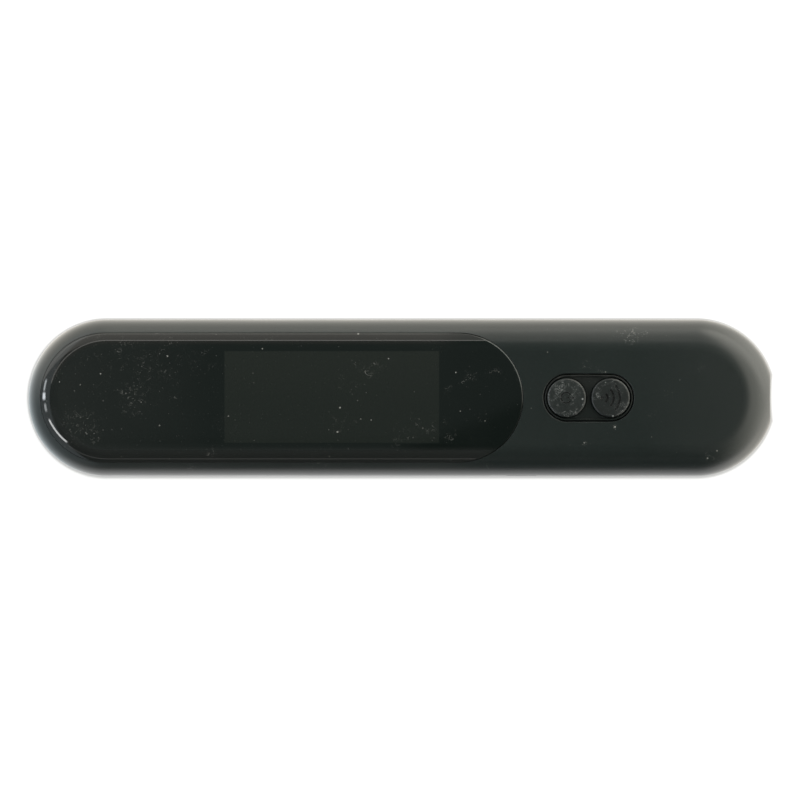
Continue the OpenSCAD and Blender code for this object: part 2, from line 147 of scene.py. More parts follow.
def xyz(vector):
    split = add(vector.tree, "ShaderNodeSeparateXYZ", (vector,))
    return tuple(split.other(i) for i in range(3))


def rgb(colour):
    split = add(colour.tree, "ShaderNodeSeparateColor", (colour,))
    return tuple(split.other(i) for i in range(3))


def vec(x, y, z):
    return add(x.tree, "ShaderNodeCombineXYZ", (x, y, z))


def noise(point, scale, detail=2.0, rough=0.5, distort=0.0, output="Fac"):
    return add(point.tree, "ShaderNodeTexNoise", {
        "Vector": point, "Scale": scale, "Detail": detail, "Roughness": rough,
        "Distortion": distort}, output)


def cells(point, scale, feature="F1"):
    return add(point.tree, "ShaderNodeTexVoronoi", {"Vector": point, "Scale": scale}, "Distance",
               voronoi_dimensions="2D", feature=feature)


def mix(factor, a, b):
    """Colour a where factor is 0, colour b where factor is 1."""
    return add(factor.tree, "ShaderNodeMix", {0: factor, 6: a, 7: b}, 2, data_type="RGBA")


def bump(height, strength, distance=0.00004):
    return add(height.tree, "ShaderNodeBump",
               {"Strength": strength, "Distance": distance, "Height": height})


def rotated(x, y, degrees, scale_x=1.0, scale_y=1.0):
    c, s = math.cos(math.radians(degrees)), math.sin(math.radians(degrees))
    return (x * c + y * s) * scale_x, (y * c - x * s) * scale_y


def specks(x, y, cell, size, share, seed, turn=0.0, stretch=1.0):
    """Small marks, at most one in each cell of that many mm: a share of the cells have one, up to
    size mm across and stretched along turn degrees."""
    cell, size = cell * MM, size * MM
    along, across = rotated(x, y, turn, 1.0 / stretch)
    distance = cells(vec(along / cell + seed, across / cell + seed * 1.7, seed), scale=1.0)
    pick, extent, strength = rgb(distance.other("Color"))
    radius = (extent * extent * 0.8 + 0.2) * (size * 0.5 / cell)
    on = step(pick, share - 0.004, share + 0.004, before=1.0, after=0.0, smooth=False)
    edge = clamp((radius - distance) / (radius * 0.55))
    return edge * on * (strength * 0.7 + 0.3)


def blobs(x, y, spots, ragged=None):
    """Soft patches, as (x, y, radius in mm, strength); ragged is a colour noise that breaks them up."""
    total = None
    core = 0.25
    if ragged is not None:
        shift_x, shift_y, _ = rgb(ragged)
        x = x + (shift_x - 0.5) * 0.016
        y = y + (shift_y - 0.5) * 0.016
        core = 0.0
    for spot_x, spot_y, radius, strength in spots:
        distance = length(x - spot_x * MM, y - spot_y * MM)
        blob = step(distance, radius * MM, radius * core * MM) * strength
        total = blob if total is None else most(total, blob)
    return total


def new_tree(owner):
    owner.use_nodes = True
    owner.node_tree.nodes.clear()
    return owner.node_tree


def material(name, shader):
    """A material whose Principled inputs are what shader returns for the object coordinates."""
    made = bpy.data.materials.new(name)
    tree = new_tree(made)
    point = add(tree, "ShaderNodeTexCoord", output="Object")
    surface_shader = add(tree, "ShaderNodeBsdfPrincipled", shader(point))
    node(tree, "ShaderNodeOutputMaterial", (surface_shader,))
    return made


def scaled(colour, factor):
    return [v * factor for v in colour]


# ---------------------------------------------------------------------------
# Materials. Every table of spots holds x, y, radius (mm) and strength.
# ---------------------------------------------------------------------------

HOUSING_COLOUR = (0.0082, 0.0122, 0.0115)
HOUSING_MARKS = [
    (46.8, 12.5, 2.2, 1.0), (49.3, 12.9, 1.2, 0.6), (44.0, 12.9, 1.2, 0.6), (62.5, -11.6, 1.5, 0.5),
    (54.0, 0.6, 1.6, 0.35), (51.0, -3.2, 1.2, 0.3), (66.0, 13.0, 1.0, 0.35), (43.4, -5.9, 0.7, 1.0),
    (37.2, -9.1, 0.7, 0.8), (37.5, 6.2, 1.6, 0.4), (40.6, 5.6, 1.4, 0.4), (-42.0, -14.1, 1.2, 0.7),
    (-16.0, -13.9, 2.2, 0.45), (60.5, 6.0, 2.0, 0.2), (17.5, -13.9, 1.0, 0.6)]
HOUSING_CRUMBS = [
    (43.4, -5.9, 0.24, 0.9), (37.2, -9.1, 0.20, 0.6), (41.5, 5.2, 0.18, 0.6), (56.5, 3.6, 0.16, 0.5),
    (29.8, 9.2, 0.16, 0.5), (64.0, -10.7, 0.22, 0.8), (62.1, -12.2, 0.22, 0.8),
    (26.5, -2.1, 0.14, 0.5), (50.8, -7.9, 0.14, 0.5), (-19.0, 12.9, 0.22, 0.7), (68.2, 4.0, 0.14, 0.4)]


def housing(point):
    x, y, z = xyz(point)
    grain = noise(point, 5200, rough=0.6)
    mottle = noise(point, 1600, detail=3.0, rough=0.55)
    cloud = noise(point, 42, detail=3.0, rough=0.55)
    rub = noise(point, 160, detail=4.0, rough=0.6)
    colour = mix(cloud, scaled(HOUSING_COLOUR, 0.90), scaled(HOUSING_COLOUR, 1.10))
    colour = mix(step(mottle, 0.35, 0.75) * 0.5, colour, scaled(HOUSING_COLOUR, 1.35))
    # dust: fine specks everywhere, more in the rubbed patches, and short fibres
    patch = step(rub, 0.50, 0.75)
    fine = specks(x, y, cell=1.1, size=0.16, share=0.16, seed=3.1)
    fibre = specks(x, y, cell=3.4, size=0.15, share=0.10, seed=8.7, turn=35, stretch=5.0)
    dust = most(fine * (patch * 0.5 + 0.22), fibre * 0.35)
    # denser marks inside the spots
    marks = blobs(x, y, HOUSING_MARKS)
    long_marks = specks(x, y, cell=0.55, size=0.26, share=0.55, seed=1.3, turn=-32, stretch=3.2)
    short_marks = specks(x, y, cell=0.42, size=0.16, share=0.45, seed=5.9, turn=58, stretch=2.2)
    curl = (contour(noise(point, 900, detail=1.0, distort=1.2), 0.5, wide=0.020, thin=0.004)
            * step(noise(point, 1100, rough=0.6), 0.50, 0.58))
    dust = most(dust, marks * most(most(long_marks, short_marks), curl * 0.8))
    dust = most(dust, blobs(x, y, HOUSING_CRUMBS))
    # dust lies on the faces that look up or down, not on the steep sides
    dust = dust * most(step_mm(z, 8.4, 10.0), step_mm(z, 4.6, 3.0))
    colour = mix(clamp(dust * 1.15), colour, (0.25, 0.25, 0.235))
    rough = step(cloud, 0.3, 0.7, before=0.27, after=0.31) + grain * 0.03 + dust * 0.25
    # painted sheen: a paler, mottled band along the upper -Y edge stands in for light on that rim; and a
    # paler top towards the port end
    dust_film_and_sheen = (step_mm(y, -11.6, -12.8) * step_mm(x, 20, 6) * step_mm(z, 7.0, 9.0)
            * (0.7 + rub * 0.6))
    colour = mix(clamp(dust_film_and_sheen * 0.42), colour, (0.0245, 0.0270, 0.0255))
    colour = mix(step_mm(x, 49, 69, smooth=False) * step_mm(z, 12.35, 12.95), colour,
                 (0.0164, 0.0202, 0.0192))
    return {"Base Color": colour, "Roughness": rough, "IOR": 1.5,
            "Normal": bump(grain * 0.6 + mottle * 0.4, strength=0.16)}


# centre and half sizes of the display's lit area, mm
LIT_X, LIT_Y, LIT_HALF_X, LIT_HALF_Y = -13.75, 0.15, 21.65, 9.25
LINT_SPOTS = [
    (-54.0, 8.9, 4.2, 0.85), (-47.4, 8.6, 4.2, 0.9), (-54.8, -0.5, 4.0, 1.0), (-45.9, 1.1, 3.2, 0.7),
    (-65.6, -5.5, 5.4, 0.75), (-63.1, -8.5, 4.0, 0.6), (-51.5, 5.1, 6.0, 0.5),
    (-40.9, 7.6, 4.2, 0.4), (-38.4, -12.3, 1.6, 1.0), (-69.7, 6.1, 2.4, 0.6),
    (-47.4, 12.4, 2.6, 1.0), (-26.0, 12.6, 1.8, 0.7), (-61.0, 5.0, 4.0, 0.35),
    (-36.0, -6.0, 4.0, 0.25), (-6.0, 6.1, 3.0, 0.6), (-2.6, 7.6, 1.8, 0.6), (-10.3, 1.6, 1.5, 0.9),
    (-12.4, -5.6, 2.6, 1.0), (6.1, -5.5, 2.8, 0.6), (9.2, -5.6, 2.4, 0.7), (9.9, 2.3, 1.8, 0.9),
    (14.9, 3.8, 2.2, 1.0), (19.2, 5.2, 2.0, 0.5), (0.5, -8.3, 2.4, 0.45), (-17.2, -12.6, 3.0, 0.5),
    (17.0, -4.9, 1.8, 0.4), (-60.0, 11.4, 3.0, 0.5)]
WINDOW_CRUMBS = [
    (-60.4, 4.85, 0.20, 1.0), (-68.7, 3.2, 0.18, 0.9), (-64.5, 2.6, 0.16, 0.7),
    (-46.9, 8.4, 0.24, 1.0), (-27.75, 9.9, 0.20, 0.9), (-34.6, -3.7, 0.20, 0.6),
    (-12.1, -2.0, 0.26, 1.0), (-12.6, -6.9, 0.26, 1.0), (11.3, 5.1, 0.22, 0.9),
    (-7.9, -4.3, 0.16, 0.7), (-5.8, -4.5, 0.18, 0.7), (12.2, -2.7, 0.16, 0.8),
    (-2.3, 7.9, 0.20, 0.9), (-8.4, 12.9, 0.26, 0.9), (17.2, -4.7, 0.16, 0.6), (-48.5, -5.6, 0.22, 0.7)]


def window(point):
    x, y, z = xyz(point)
    # the display's lit area shows faintly through the smoked window
    beyond_x = abs(x - LIT_X * MM) - LIT_HALF_X * MM
    beyond_y = abs(y - LIT_Y * MM) - LIT_HALF_Y * MM
    area = step_mm(most(beyond_x, beyond_y), 0.12, -0.12)
    area = area * step_mm(z, 12.2, 12.6)
    left = step_mm(x, 4, -40)
    base = mix(step_mm(x, -38, -74, smooth=False), (0.0037, 0.0059, 0.0051), (0.0102, 0.0122, 0.0113))
    lit = mix(step_mm(y, -4, 9), (0.0088, 0.0114, 0.0096), (0.0108, 0.0134, 0.0113))
    base = mix(area, base, lit)
    # painted reflection: lighter bands along the rounded edge, first on the -Y side, then, warmer, on the
    # +Y side
    turn = length(least(x + -LEFT_X * MM, 0.0), y)
    base = mix(step_mm(turn, 9.6, 11.2) * step_mm(y, 0.0, -4.0) * step_mm(x, 24, 16), base,
               (0.0146, 0.0164, 0.0156))
    base = mix(step_mm(turn, 10.4, 11.4) * step_mm(y, 2.0, 6.0) * step_mm(x, 14, 6) * 0.5, base,
               (0.0165, 0.0160, 0.0150))
    # the +X end's edge carries a painted highlight, a pale band on the +Y side, and is dull and dark on the
    # -Y side
    brim = step_mm(length(x - 11.8 * MM, y), 12.72, 12.90) * step_mm(x, 12, 13)
    base = mix(brim * step_mm(y, 0.5, 3.5) * step_mm(y, 12.6, 11.0), base, (0.060, 0.068, 0.066))
    shut = brim * step_mm(y, 0.5, -2.5)
    # painted highlight: a thin pale line along the +Y edge of the window, short of the +X end
    painted_edge_line = step_mm(turn, 12.76, 12.84) * step_mm(turn, 13.02, 12.94) * step_mm(y, 6.0, 9.0)
    base = mix(painted_edge_line * step_mm(x, 13, 6) * 0.8, base, (0.042, 0.044, 0.041))
    cloud = noise(point, 55, detail=3.0, rough=0.6)
    # lint: curled fibres and crumbs, gathered in clusters
    cluster = blobs(x, y, LINT_SPOTS, noise(point, 260, detail=3.0, rough=0.6, output="Color"))
    cluster = cluster * step(noise(point, 340, rough=0.6), 0.36, 0.62)
    coarse = noise(point, 560, detail=1.0, distort=0.9)
    close = noise(point, 1050, detail=1.0, distort=1.3)
    coarse_gate = step(noise(point, 700, rough=0.6), 0.54, 0.60)
    close_gate = step(noise(point, 1250, rough=0.6), 0.52, 0.58)
    curl = most(contour(coarse, 0.47, wide=0.014, thin=0.003) * coarse_gate,
                contour(close, 0.53, wide=0.018, thin=0.004) * close_gate)
    grit = specks(x, y, cell=0.80, size=0.36, share=0.30, seed=2.3)
    hairs = specks(x, y, cell=1.00, size=0.22, share=0.36, seed=7.9, turn=28, stretch=3.0)
    cross_hairs = specks(x, y, cell=1.10, size=0.20, share=0.36, seed=4.4, turn=-52, stretch=3.2)
    sparse = specks(x, y, cell=1.9, size=0.40, share=0.16, seed=6.6)
    fine = specks(x, y, cell=0.9, size=0.20, share=0.45, seed=12.1)
    crumbs = blobs(x, y, WINDOW_CRUMBS)
    lint = most(curl * 0.58, most(grit, most(hairs, cross_hairs)) * 0.85) * cluster
    dust = most(most(lint, crumbs * 0.8), most(sparse * 0.22, fine * (0.05 + left * 0.08)))
    haze = step(cloud, 0.45, 0.8) * 0.004 + cluster * 0.006
    # hairline scratches
    along, across = rotated(x, y, 17, scale_x=1 / 22.0)
    scratch = (contour(noise(vec(along, across, 0.3), 2600, detail=1.0), 0.5, wide=0.004, thin=0.0)
               * step(cloud, 0.45, 0.7))
    # an anti-glare coat: the window mirrors less of the room when seen at a low angle
    facing = add(point.tree, "ShaderNodeLayerWeight", {"Blend": 0.5}, "Facing")
    low = step(facing, 0.40, 0.62)
    height = scratch * -0.3 + dust * 0.5 + noise(point, 130) * 0.3
    return {"Base Color": mix(clamp(dust * 0.9 + haze), base, (0.30, 0.30, 0.285)),
            "Roughness": clamp(0.04 + cloud * 0.02 + dust * 0.5 + scratch * 0.15), "IOR": 1.49,
            "Specular IOR Level": (0.5 - shut * 0.43) * (1.0 - low * 0.86),
            "Normal": bump(height, strength=0.06)}


def pad_rubber(side, tone, icon_dark, icon_dull, spots, dots):
    """Rubber of one key, side -1 or 1 along X. tone scales its colour; icon_dark and icon_dull are how
    much the sunk icon loses in colour and shine."""
    def shader(point):
        x, y, z = xyz(point)
        grain = noise(point, 4200, detail=3.0, rough=0.6)
        cloud = noise(point, 330, detail=4.0, rough=0.6)
        wear = noise(point, 1300, detail=4.0, rough=0.7, distort=0.8)
        centre = KEY_CENTRES[side > 0] * MM
        rim = step_mm(length(x - centre, y), 3.2, 3.75)
        crumbs = specks(x, y, cell=0.34, size=0.24, share=0.55, seed=3.3 + side)
        hairs = specks(x, y, cell=0.40, size=0.18, share=0.50, seed=9.1 + side,
                       turn=38 * side, stretch=2.4)
        curl = contour(noise(point, 1500, rough=0.6, distort=1.4), 0.5, wide=0.030, thin=0.006)
        patch = blobs(x, y, spots, noise(point, 420, detail=3.0, rough=0.6, output="Color"))
        grit = most(most(crumbs, hairs), curl * 0.7)
        dust_film_and_sheen = clamp(grit * (patch * 0.95 + 0.05 + rim * step(cloud, 0.45, 0.62) * 0.40)
                     + step(wear, 0.52, 0.7) * patch * 0.06 + step(cloud, 0.42, 0.7) * 0.02)
        icon = step_mm(z, 13.375, 13.345) * step_mm(length(x - centre, y), 3.45, 3.40)
        dust_film_and_sheen = most(dust_film_and_sheen, blobs(x, y, dots)) * step_mm(z, 12.98, 13.2)
        colour = mix(cloud, scaled((0.0080, 0.0110, 0.0106), tone),
                     scaled((0.0120, 0.0152, 0.0147), tone))
        colour = mix(icon * icon_dark, colour, (0.0010, 0.0012, 0.0012))
        colour = mix(dust_film_and_sheen * 0.8, colour, (0.272, 0.288, 0.287))
        height = grain * 0.5 + wear * 0.5 + dust_film_and_sheen * 0.6
        return {"Base Color": colour, "IOR": 1.44, "Specular IOR Level": 0.5 - icon * icon_dull,
                "Roughness": clamp(0.34 + grain * 0.08 + dust_film_and_sheen * 0.35 + icon * 0.3),
                "Normal": bump(height, strength=0.22, distance=0.00005)}
    return shader


power_rubber = pad_rubber(
    side=-1, tone=1.0, icon_dark=0.45, icon_dull=0.16,
    spots=[(32.0, 0.9, 2.0, 1.0), (33.6, 1.6, 1.7, 0.9), (31.0, 0.0, 1.2, 0.9),
           (33.9, -2.9, 1.7, 1.0), (34.6, 2.6, 1.4, 0.6), (36.3, 1.4, 1.2, 0.5)],
    dots=[(36.85, -0.25, 0.26, 1.0), (36.9, -1.4, 0.16, 0.6)])
wifi_rubber = pad_rubber(
    side=1, tone=0.80, icon_dark=0.62, icon_dull=0.26,
    spots=[(40.0, 2.2, 1.5, 0.9), (43.2, 2.6, 1.6, 0.7), (43.4, -2.9, 1.9, 0.9),
           (45.2, -1.6, 1.5, 0.7), (39.4, -0.8, 1.3, 0.5), (44.6, 1.4, 1.3, 0.6)],
    dots=[(43.0, -3.7, 0.27, 1.0), (41.5, 3.1, 0.16, 0.8)])


def bezel(point):
    x, y, _ = xyz(point)
    grain = noise(point, 4600, rough=0.6)
    cloud = noise(point, 300, detail=3.0, rough=0.6)
    dust = specks(x, y, cell=0.6, size=0.2, share=0.35, seed=5.5)
    # a pale band along the +Y edge: dust, and a painted highlight where that edge catches light
    edge = step_mm(y, 3.6, 4.4) * step(cloud, 0.4, 0.6)
    # painted light: the plate is lighter towards +Y, where light falls
    tone = mix(step_mm(y, -1.0, 4.2), (0.0036, 0.0062, 0.0054), (0.0080, 0.0098, 0.0092))
    return {"Base Color": mix(clamp(dust * 0.20 + edge * 0.14), tone, (0.20, 0.20, 0.19)),
            "Roughness": 0.34 + grain * 0.08, "IOR": 1.42, "Normal": bump(grain, strength=0.12)}


def plain(colour, rough, metal=0.0, grain=3000, strength=0.1, depth=0.00004, coat=0.0):
    """One colour, a little uneven; grain, strength and depth (m) shape the fine bump."""
    def shader(point):
        fine = noise(point, grain, detail=3.0, rough=0.6)
        cloud = noise(point, 180, detail=3.0, rough=0.55)
        return {"Base Color": mix(cloud, scaled(colour, 0.85), scaled(colour, 1.15)),
                "Roughness": clamp(rough - 0.06 + fine * 0.12), "Metallic": metal,
                "Coat Weight": coat, "Normal": bump(fine, strength, depth)}
    return shader


def brushed(colour, rough):
    """Metal with its grain drawn out along X."""
    def shader(point):
        x, y, z = xyz(point)
        grain = noise(vec(x / 30.0, y, z), 9000, detail=3.0, rough=0.6)
        cloud = noise(point, 400, detail=3.0, rough=0.6)
        return {"Base Color": mix(cloud, scaled(colour, 0.88), colour), "Metallic": 1.0,
                "Roughness": clamp(rough - 0.08 + grain * 0.16 + cloud * 0.05),
                "Normal": bump(grain, strength=0.12, distance=0.00003)}
    return shader


def board(point):
    x, y, _ = xyz(point)
    trace = step(cells(vec(x, y, 0.0), scale=900, feature="DISTANCE_TO_EDGE"), 0.06, 0.03)
    via = step(cells(vec(x, y, 0.0), scale=520), 0.16, 0.12)
    colour = mix(trace * 0.55, (0.006, 0.040, 0.024), (0.014, 0.085, 0.045))
    return {"Base Color": mix(via, colour, (0.55, 0.42, 0.18)), "Roughness": 0.3 - via * 0.05,
            "Metallic": via * 0.9, "Coat Weight": 0.3,
            "Normal": bump(trace + via, strength=0.25, distance=0.00003)}


# material name, shader, the parts that wear it
MATERIALS = (
    ("housing_plastic", housing, "top_housing bottom_housing sim_tray"),
    ("smoked_window", window, "display_window"),
    ("pad_rubber_power", power_rubber, "power_button"),
    ("pad_rubber_wifi", wifi_rubber, "wifi_button"),
    ("bezel_plastic", bezel, "key_bezel"),
    ("tape_black", plain((0.02, 0.02, 0.02), rough=0.8), "window_adhesive"),
    ("display_glass", plain((0.016, 0.018, 0.018), rough=0.15, coat=0.5, strength=0.02),
     "display_panel"),
    ("foam_dark", plain((0.03, 0.03, 0.032), rough=0.95, grain=5200, strength=0.8, depth=0.0001),
     "display_cushion"),
    ("flex_amber", plain((0.36, 0.15, 0.035), rough=0.3, grain=900), "display_flex battery_flex"),
    ("switch_nylon", plain((0.016, 0.016, 0.018), rough=0.5), "switch_bodies"),
    ("plunger_metal", brushed((0.62, 0.62, 0.63), rough=0.3),
     "power_switch_plunger wifi_switch_plunger"),
    ("board_green", board, "main_board modem_module battery_protection_board"),
    ("connector_ivory", plain((0.62, 0.57, 0.46), rough=0.5), "board_connectors"),
    ("chip_epoxy", plain((0.02, 0.02, 0.022), rough=0.45, grain=6000), "board_chips"),
    ("shield_can", brushed((0.62, 0.62, 0.63), rough=0.32), "modem_shield wifi_shield sim_connector"),
    ("gap_filler", plain((0.35, 0.40, 0.48), rough=0.8, grain=1500, strength=0.3), "thermal_pad"),
    ("copper_sheet", brushed((0.80, 0.42, 0.26), rough=0.3), "heat_spreader"),
    ("port_steel", brushed((0.22, 0.22, 0.225), rough=0.36), "usb_c_shell"),
    ("port_nylon", plain((0.018, 0.018, 0.019), rough=0.5), "usb_c_tongue"),
    ("card_white", plain((0.72, 0.72, 0.70), rough=0.4), "nano_sim_card"),
    ("foil_pouch", plain((0.60, 0.61, 0.63), rough=0.35, metal=0.7, grain=700, strength=0.3),
     "battery_cell"),
    ("pad_foam", plain((0.03, 0.03, 0.032), rough=0.95, grain=5200, strength=0.8), "battery_pad"),
    ("carrier_nylon", plain((0.02, 0.02, 0.021), rough=0.55), "antenna_carrier"),
    ("antenna_gold", brushed((0.83, 0.62, 0.28), rough=0.28),
     "main_antenna diversity_antenna wifi_antenna"),
    ("coax_jacket", plain((0.02, 0.02, 0.021), rough=0.6), "antenna_coax"),
    ("screw_black", brushed((0.16, 0.16, 0.165), rough=0.38), "case_screws board_screws"),
    ("insert_brass", brushed((0.78, 0.58, 0.30), rough=0.3), "screw_inserts"),
)
material_of = {}
for name, shader, parts in MATERIALS:
    made = material(name, shader)
    for part in parts.split():
        material_of[part] = made
for name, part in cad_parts.items():
    part.data.materials.clear()
    part.data.materials.append(material_of[name])

# ---------------------------------------------------------------------------
# The body's exact surface
# ---------------------------------------------------------------------------
# The body is a slot shape in plan whose edges are half-rounds. A point on it is written in "chart"
# coordinates: the plan direction from the middle line, and the distance from that line measured over
# the surface. side is 1 for the upper half and -1 for the lower.

HALF_PI = math.pi / 2


def from_spine(points):
    """The nearest x on the middle line, the distance from it and the plan direction."""
    points = np.asarray(points, float)
    spine_x = np.clip(points[:, 0], LEFT_X, RIGHT_X)
    across = np.stack([points[:, 0] - spine_x, points[:, 1]], 1)
    distance = np.linalg.norm(across, axis=1)
    return spine_x, distance, across / np.maximum(distance, 1e-9)[:, None]


def surface(chart, side, edge_r=EDGE_R, scoop=True):
    """Points and outward normals at chart points, an n x 2 array."""
    spine_x, run, unit = from_spine(chart)
    angle = np.maximum(run - FLAT_R, 0) / EDGE_R
    sin, cos = np.sin(angle), np.cos(angle)
    reach = np.where(run <= FLAT_R, run, FLAT_R + edge_r * sin)
    points = np.stack([spine_x + unit[:, 0] * reach, unit[:, 1] * reach, MID + side * edge_r * cos], 1)
    normals = np.stack([unit[:, 0] * sin, unit[:, 1] * sin, side * cos], 1)
    if scoop:
        # a smooth minimum of the end and the scoop's cylinder
        x, y = points[:, 0].copy(), points[:, 1]
        limit = SCOOP_X + SCOOP_R - np.sqrt(np.maximum(SCOOP_R ** 2 - y ** 2, 1))
        weight = np.clip(0.5 + 0.5 * (x - limit) / SCOOP_BLEND, 0, 1)
        blend = np.maximum(SCOOP_BLEND - np.abs(x - limit), 0) / SCOOP_BLEND
        points[:, 0] = np.minimum(x, limit) - blend * blend * SCOOP_BLEND / 4
        hollow = np.stack([SCOOP_X + SCOOP_R - points[:, 0], -y, 0 * x], 1) / SCOOP_R
        normals = normals * (1 - weight)[:, None] + hollow * weight[:, None]
        normals /= np.linalg.norm(normals, axis=1)[:, None]
    return points, normals


def unroll_plan(points):
    """Chart coordinates of plan positions on the outer surface."""
    spine_x, reach, unit = from_spine(points)
    sin = np.clip((reach - FLAT_R) / EDGE_R, 0, 1)
    run = np.where(reach <= FLAT_R, reach, FLAT_R + EDGE_R * np.arcsin(sin))
    return np.stack([spine_x, 0 * spine_x], 1) + unit * run[:, None]


def edge_angle(z, side, edge_r):
    return np.arccos(np.clip(side * (z - MID) / edge_r, -1, 1))


def unroll_end(yz, side, edge_r=EDGE_R):
    """Chart coordinates of points on the port end given by (y, z)."""
    angle = edge_angle(yz[:, 1], side, edge_r)
    reach = FLAT_R + edge_r * np.sin(angle)
    x = np.sqrt(reach ** 2 - yz[:, 0] ** 2)
    run = FLAT_R + EDGE_R * angle
    return np.stack([RIGHT_X + x / reach * run, yz[:, 0] / reach * run], 1)


def unroll_side(xz, side, edge_r=EDGE_R):
    """Chart coordinates of points on the long -Y side given by (x, z)."""
    return np.stack([xz[:, 0], -(FLAT_R + EDGE_R * edge_angle(xz[:, 1], side, edge_r))], 1)


# ---------------------------------------------------------------------------
# Plane outlines and triangles
# ---------------------------------------------------------------------------


def slot_loop(centre_x, centre_y, length, radius, spacing, arc):
    """Anticlockwise slot outline: points spacing mm apart on the straights, arc degrees on the ends."""
    half = length / 2 - radius
    n = max(8, int(round(180 / arc / 2)) * 2)
    m = max(1, int(round(2 * half / spacing)))
    right, left = centre_x + half, centre_x - half
    points = [(right + radius * math.cos(a), centre_y + radius * math.sin(a))
              for a in np.linspace(-HALF_PI, HALF_PI, n + 1)]
    points += [(right - 2 * half * i / m, centre_y + radius) for i in range(1, m)]
    points += [(left + radius * math.cos(a), centre_y + radius * math.sin(a))
               for a in np.linspace(HALF_PI, 3 * HALF_PI, n + 1)]
    points += [(left + 2 * half * i / m, centre_y - radius) for i in range(1, m)]
    return np.array(points)


def circle_loop(centre_x, centre_y, radius, n):
    a = np.arange(n) * 2 * math.pi / n
    return np.stack([centre_x + radius * np.cos(a), centre_y + radius * np.sin(a)], 1)


def right_of(tangents):
    """Unit vectors a quarter turn clockwise from each tangent."""
    unit = tangents / np.linalg.norm(tangents, axis=1)[:, None]
    return np.stack([unit[:, 1], -unit[:, 0]], 1)


def loop_normals(loop):
    return right_of(np.roll(loop, -1, 0) - np.roll(loop, 1, 0))


def offset(loop, distance):
    """The loop moved outwards by one distance or one for each point; anticlockwise loops grow."""
    return loop + loop_normals(loop) * np.reshape(distance, (-1, 1))


def anticlockwise(loop):
    x, y = loop[:, 0], loop[:, 1]
    area = (x * np.roll(y, -1) - np.roll(x, -1) * y).sum()
    return loop if area > 0 else loop[::-1].copy()


def near(points, loop):
    """Distance from each point to a closed loop, and the direction away from it."""
    ab = np.roll(loop, -1, 0) - loop
    squared = np.maximum((ab ** 2).sum(1), 1e-12)
    best = np.full(len(points), 1e9)
    away = np.zeros((len(points), 2))
    for i in range(0, len(points), 2000):       # in batches, to spare memory
        batch = points[i:i + 2000]
        t = np.clip(((batch[:, None] - loop[None]) * ab[None]).sum(2) / squared[None], 0, 1)
        apart = batch[:, None] - (loop[None] + ab[None] * t[..., None])
        distance = np.sqrt((apart ** 2).sum(2))
        j = distance.argmin(1)
        rows = np.arange(len(batch))
        best[i:i + 2000] = distance[rows, j]
        away[i:i + 2000] = apart[rows, j] / np.maximum(distance[rows, j], 1e-9)[:, None]
    return best, away


def near_edge(points, loop, out):
    """As near, but points on the loop itself look outwards (out 1) or inwards (out -1)."""
    distance, away = near(points, loop)
    on = distance < 1e-5
    j = ((points[on][:, None] - loop[None]) ** 2).sum(2).argmin(1)
    away[on] = loop_normals(loop)[j] * out
    return distance, away


def inside(points, loop):
    x, y = points[:, 0][:, None], points[:, 1][:, None]
    a, b = loop, np.roll(loop, -1, 0)
    ay, by = a[None, :, 1], b[None, :, 1]
    crosses = (ay > y) != (by > y)
    with np.errstate(divide="ignore", invalid="ignore"):
        cross_x = (b[None, :, 0] - a[None, :, 0]) * (y - ay) / (by - ay) + a[None, :, 0]
    return ((crosses & (x < cross_x)).sum(1) % 2) == 1


def triangulate(loops, grid, clear, outline, holes=()):
    """Triangles inside outline and outside holes that follow every loop. Grid points closer than
    clear to a loop are left out."""
    points, edges = [], []
    for loop in loops:
        first = len(points)
        points += [tuple(p) for p in loop]
        edges += [(first + i, first + (i + 1) % len(loop)) for i in range(len(loop))]
    grid = np.asarray(grid, float)
    for loop in loops:
        grid = grid[near(grid, loop)[0] > clear]
    points += [tuple(p) for p in grid]
    verts, _, faces, *_ = delaunay_2d_cdt([Vector(p) for p in points], edges, [], 0, 1e-6)
    verts = np.array([tuple(p) for p in verts])
    faces = np.array([t for t in faces if len(t) == 3])
    centres = verts[faces].mean(1)
    keep = inside(centres, outline)
    for hole in holes:
        keep &= ~inside(centres, hole)
    faces = faces[keep]
    a, b, c = (verts[faces[:, i]] for i in range(3))
    area = (b[:, 0] - a[:, 0]) * (c[:, 1] - a[:, 1]) - (b[:, 1] - a[:, 1]) * (c[:, 0] - a[:, 0])
    faces = np.where((area < 0)[:, None], faces[:, ::-1], faces)
    faces = faces[np.abs(area) > 1e-9]
    used = np.unique(faces)
    index = -np.ones(len(verts), int)
    index[used] = np.arange(len(used))
    return verts[used], index[faces]


def chains(faces):
    """Closed chains of border edges, in the direction the triangles run."""
    edges = dict.fromkeys((t[i], t[(i + 1) % 3]) for t in faces for i in range(3))
    following = dict((a, b) for (a, b) in edges if (b, a) not in edges)
    found = []
    while following:
        a = next(iter(following))
        chain = []
        while a in following:
            chain.append(a)
            a = following.pop(a)
        found.append(chain)
    return found


def rows_of(loop, radius, out):
    """The loop and the rows beside it that a rounded edge of that radius needs."""
    return [loop] + [offset(loop, out * radius * (1 - math.cos(math.radians(a))))
                     for a in (30.0, 60.0, 90.0)]


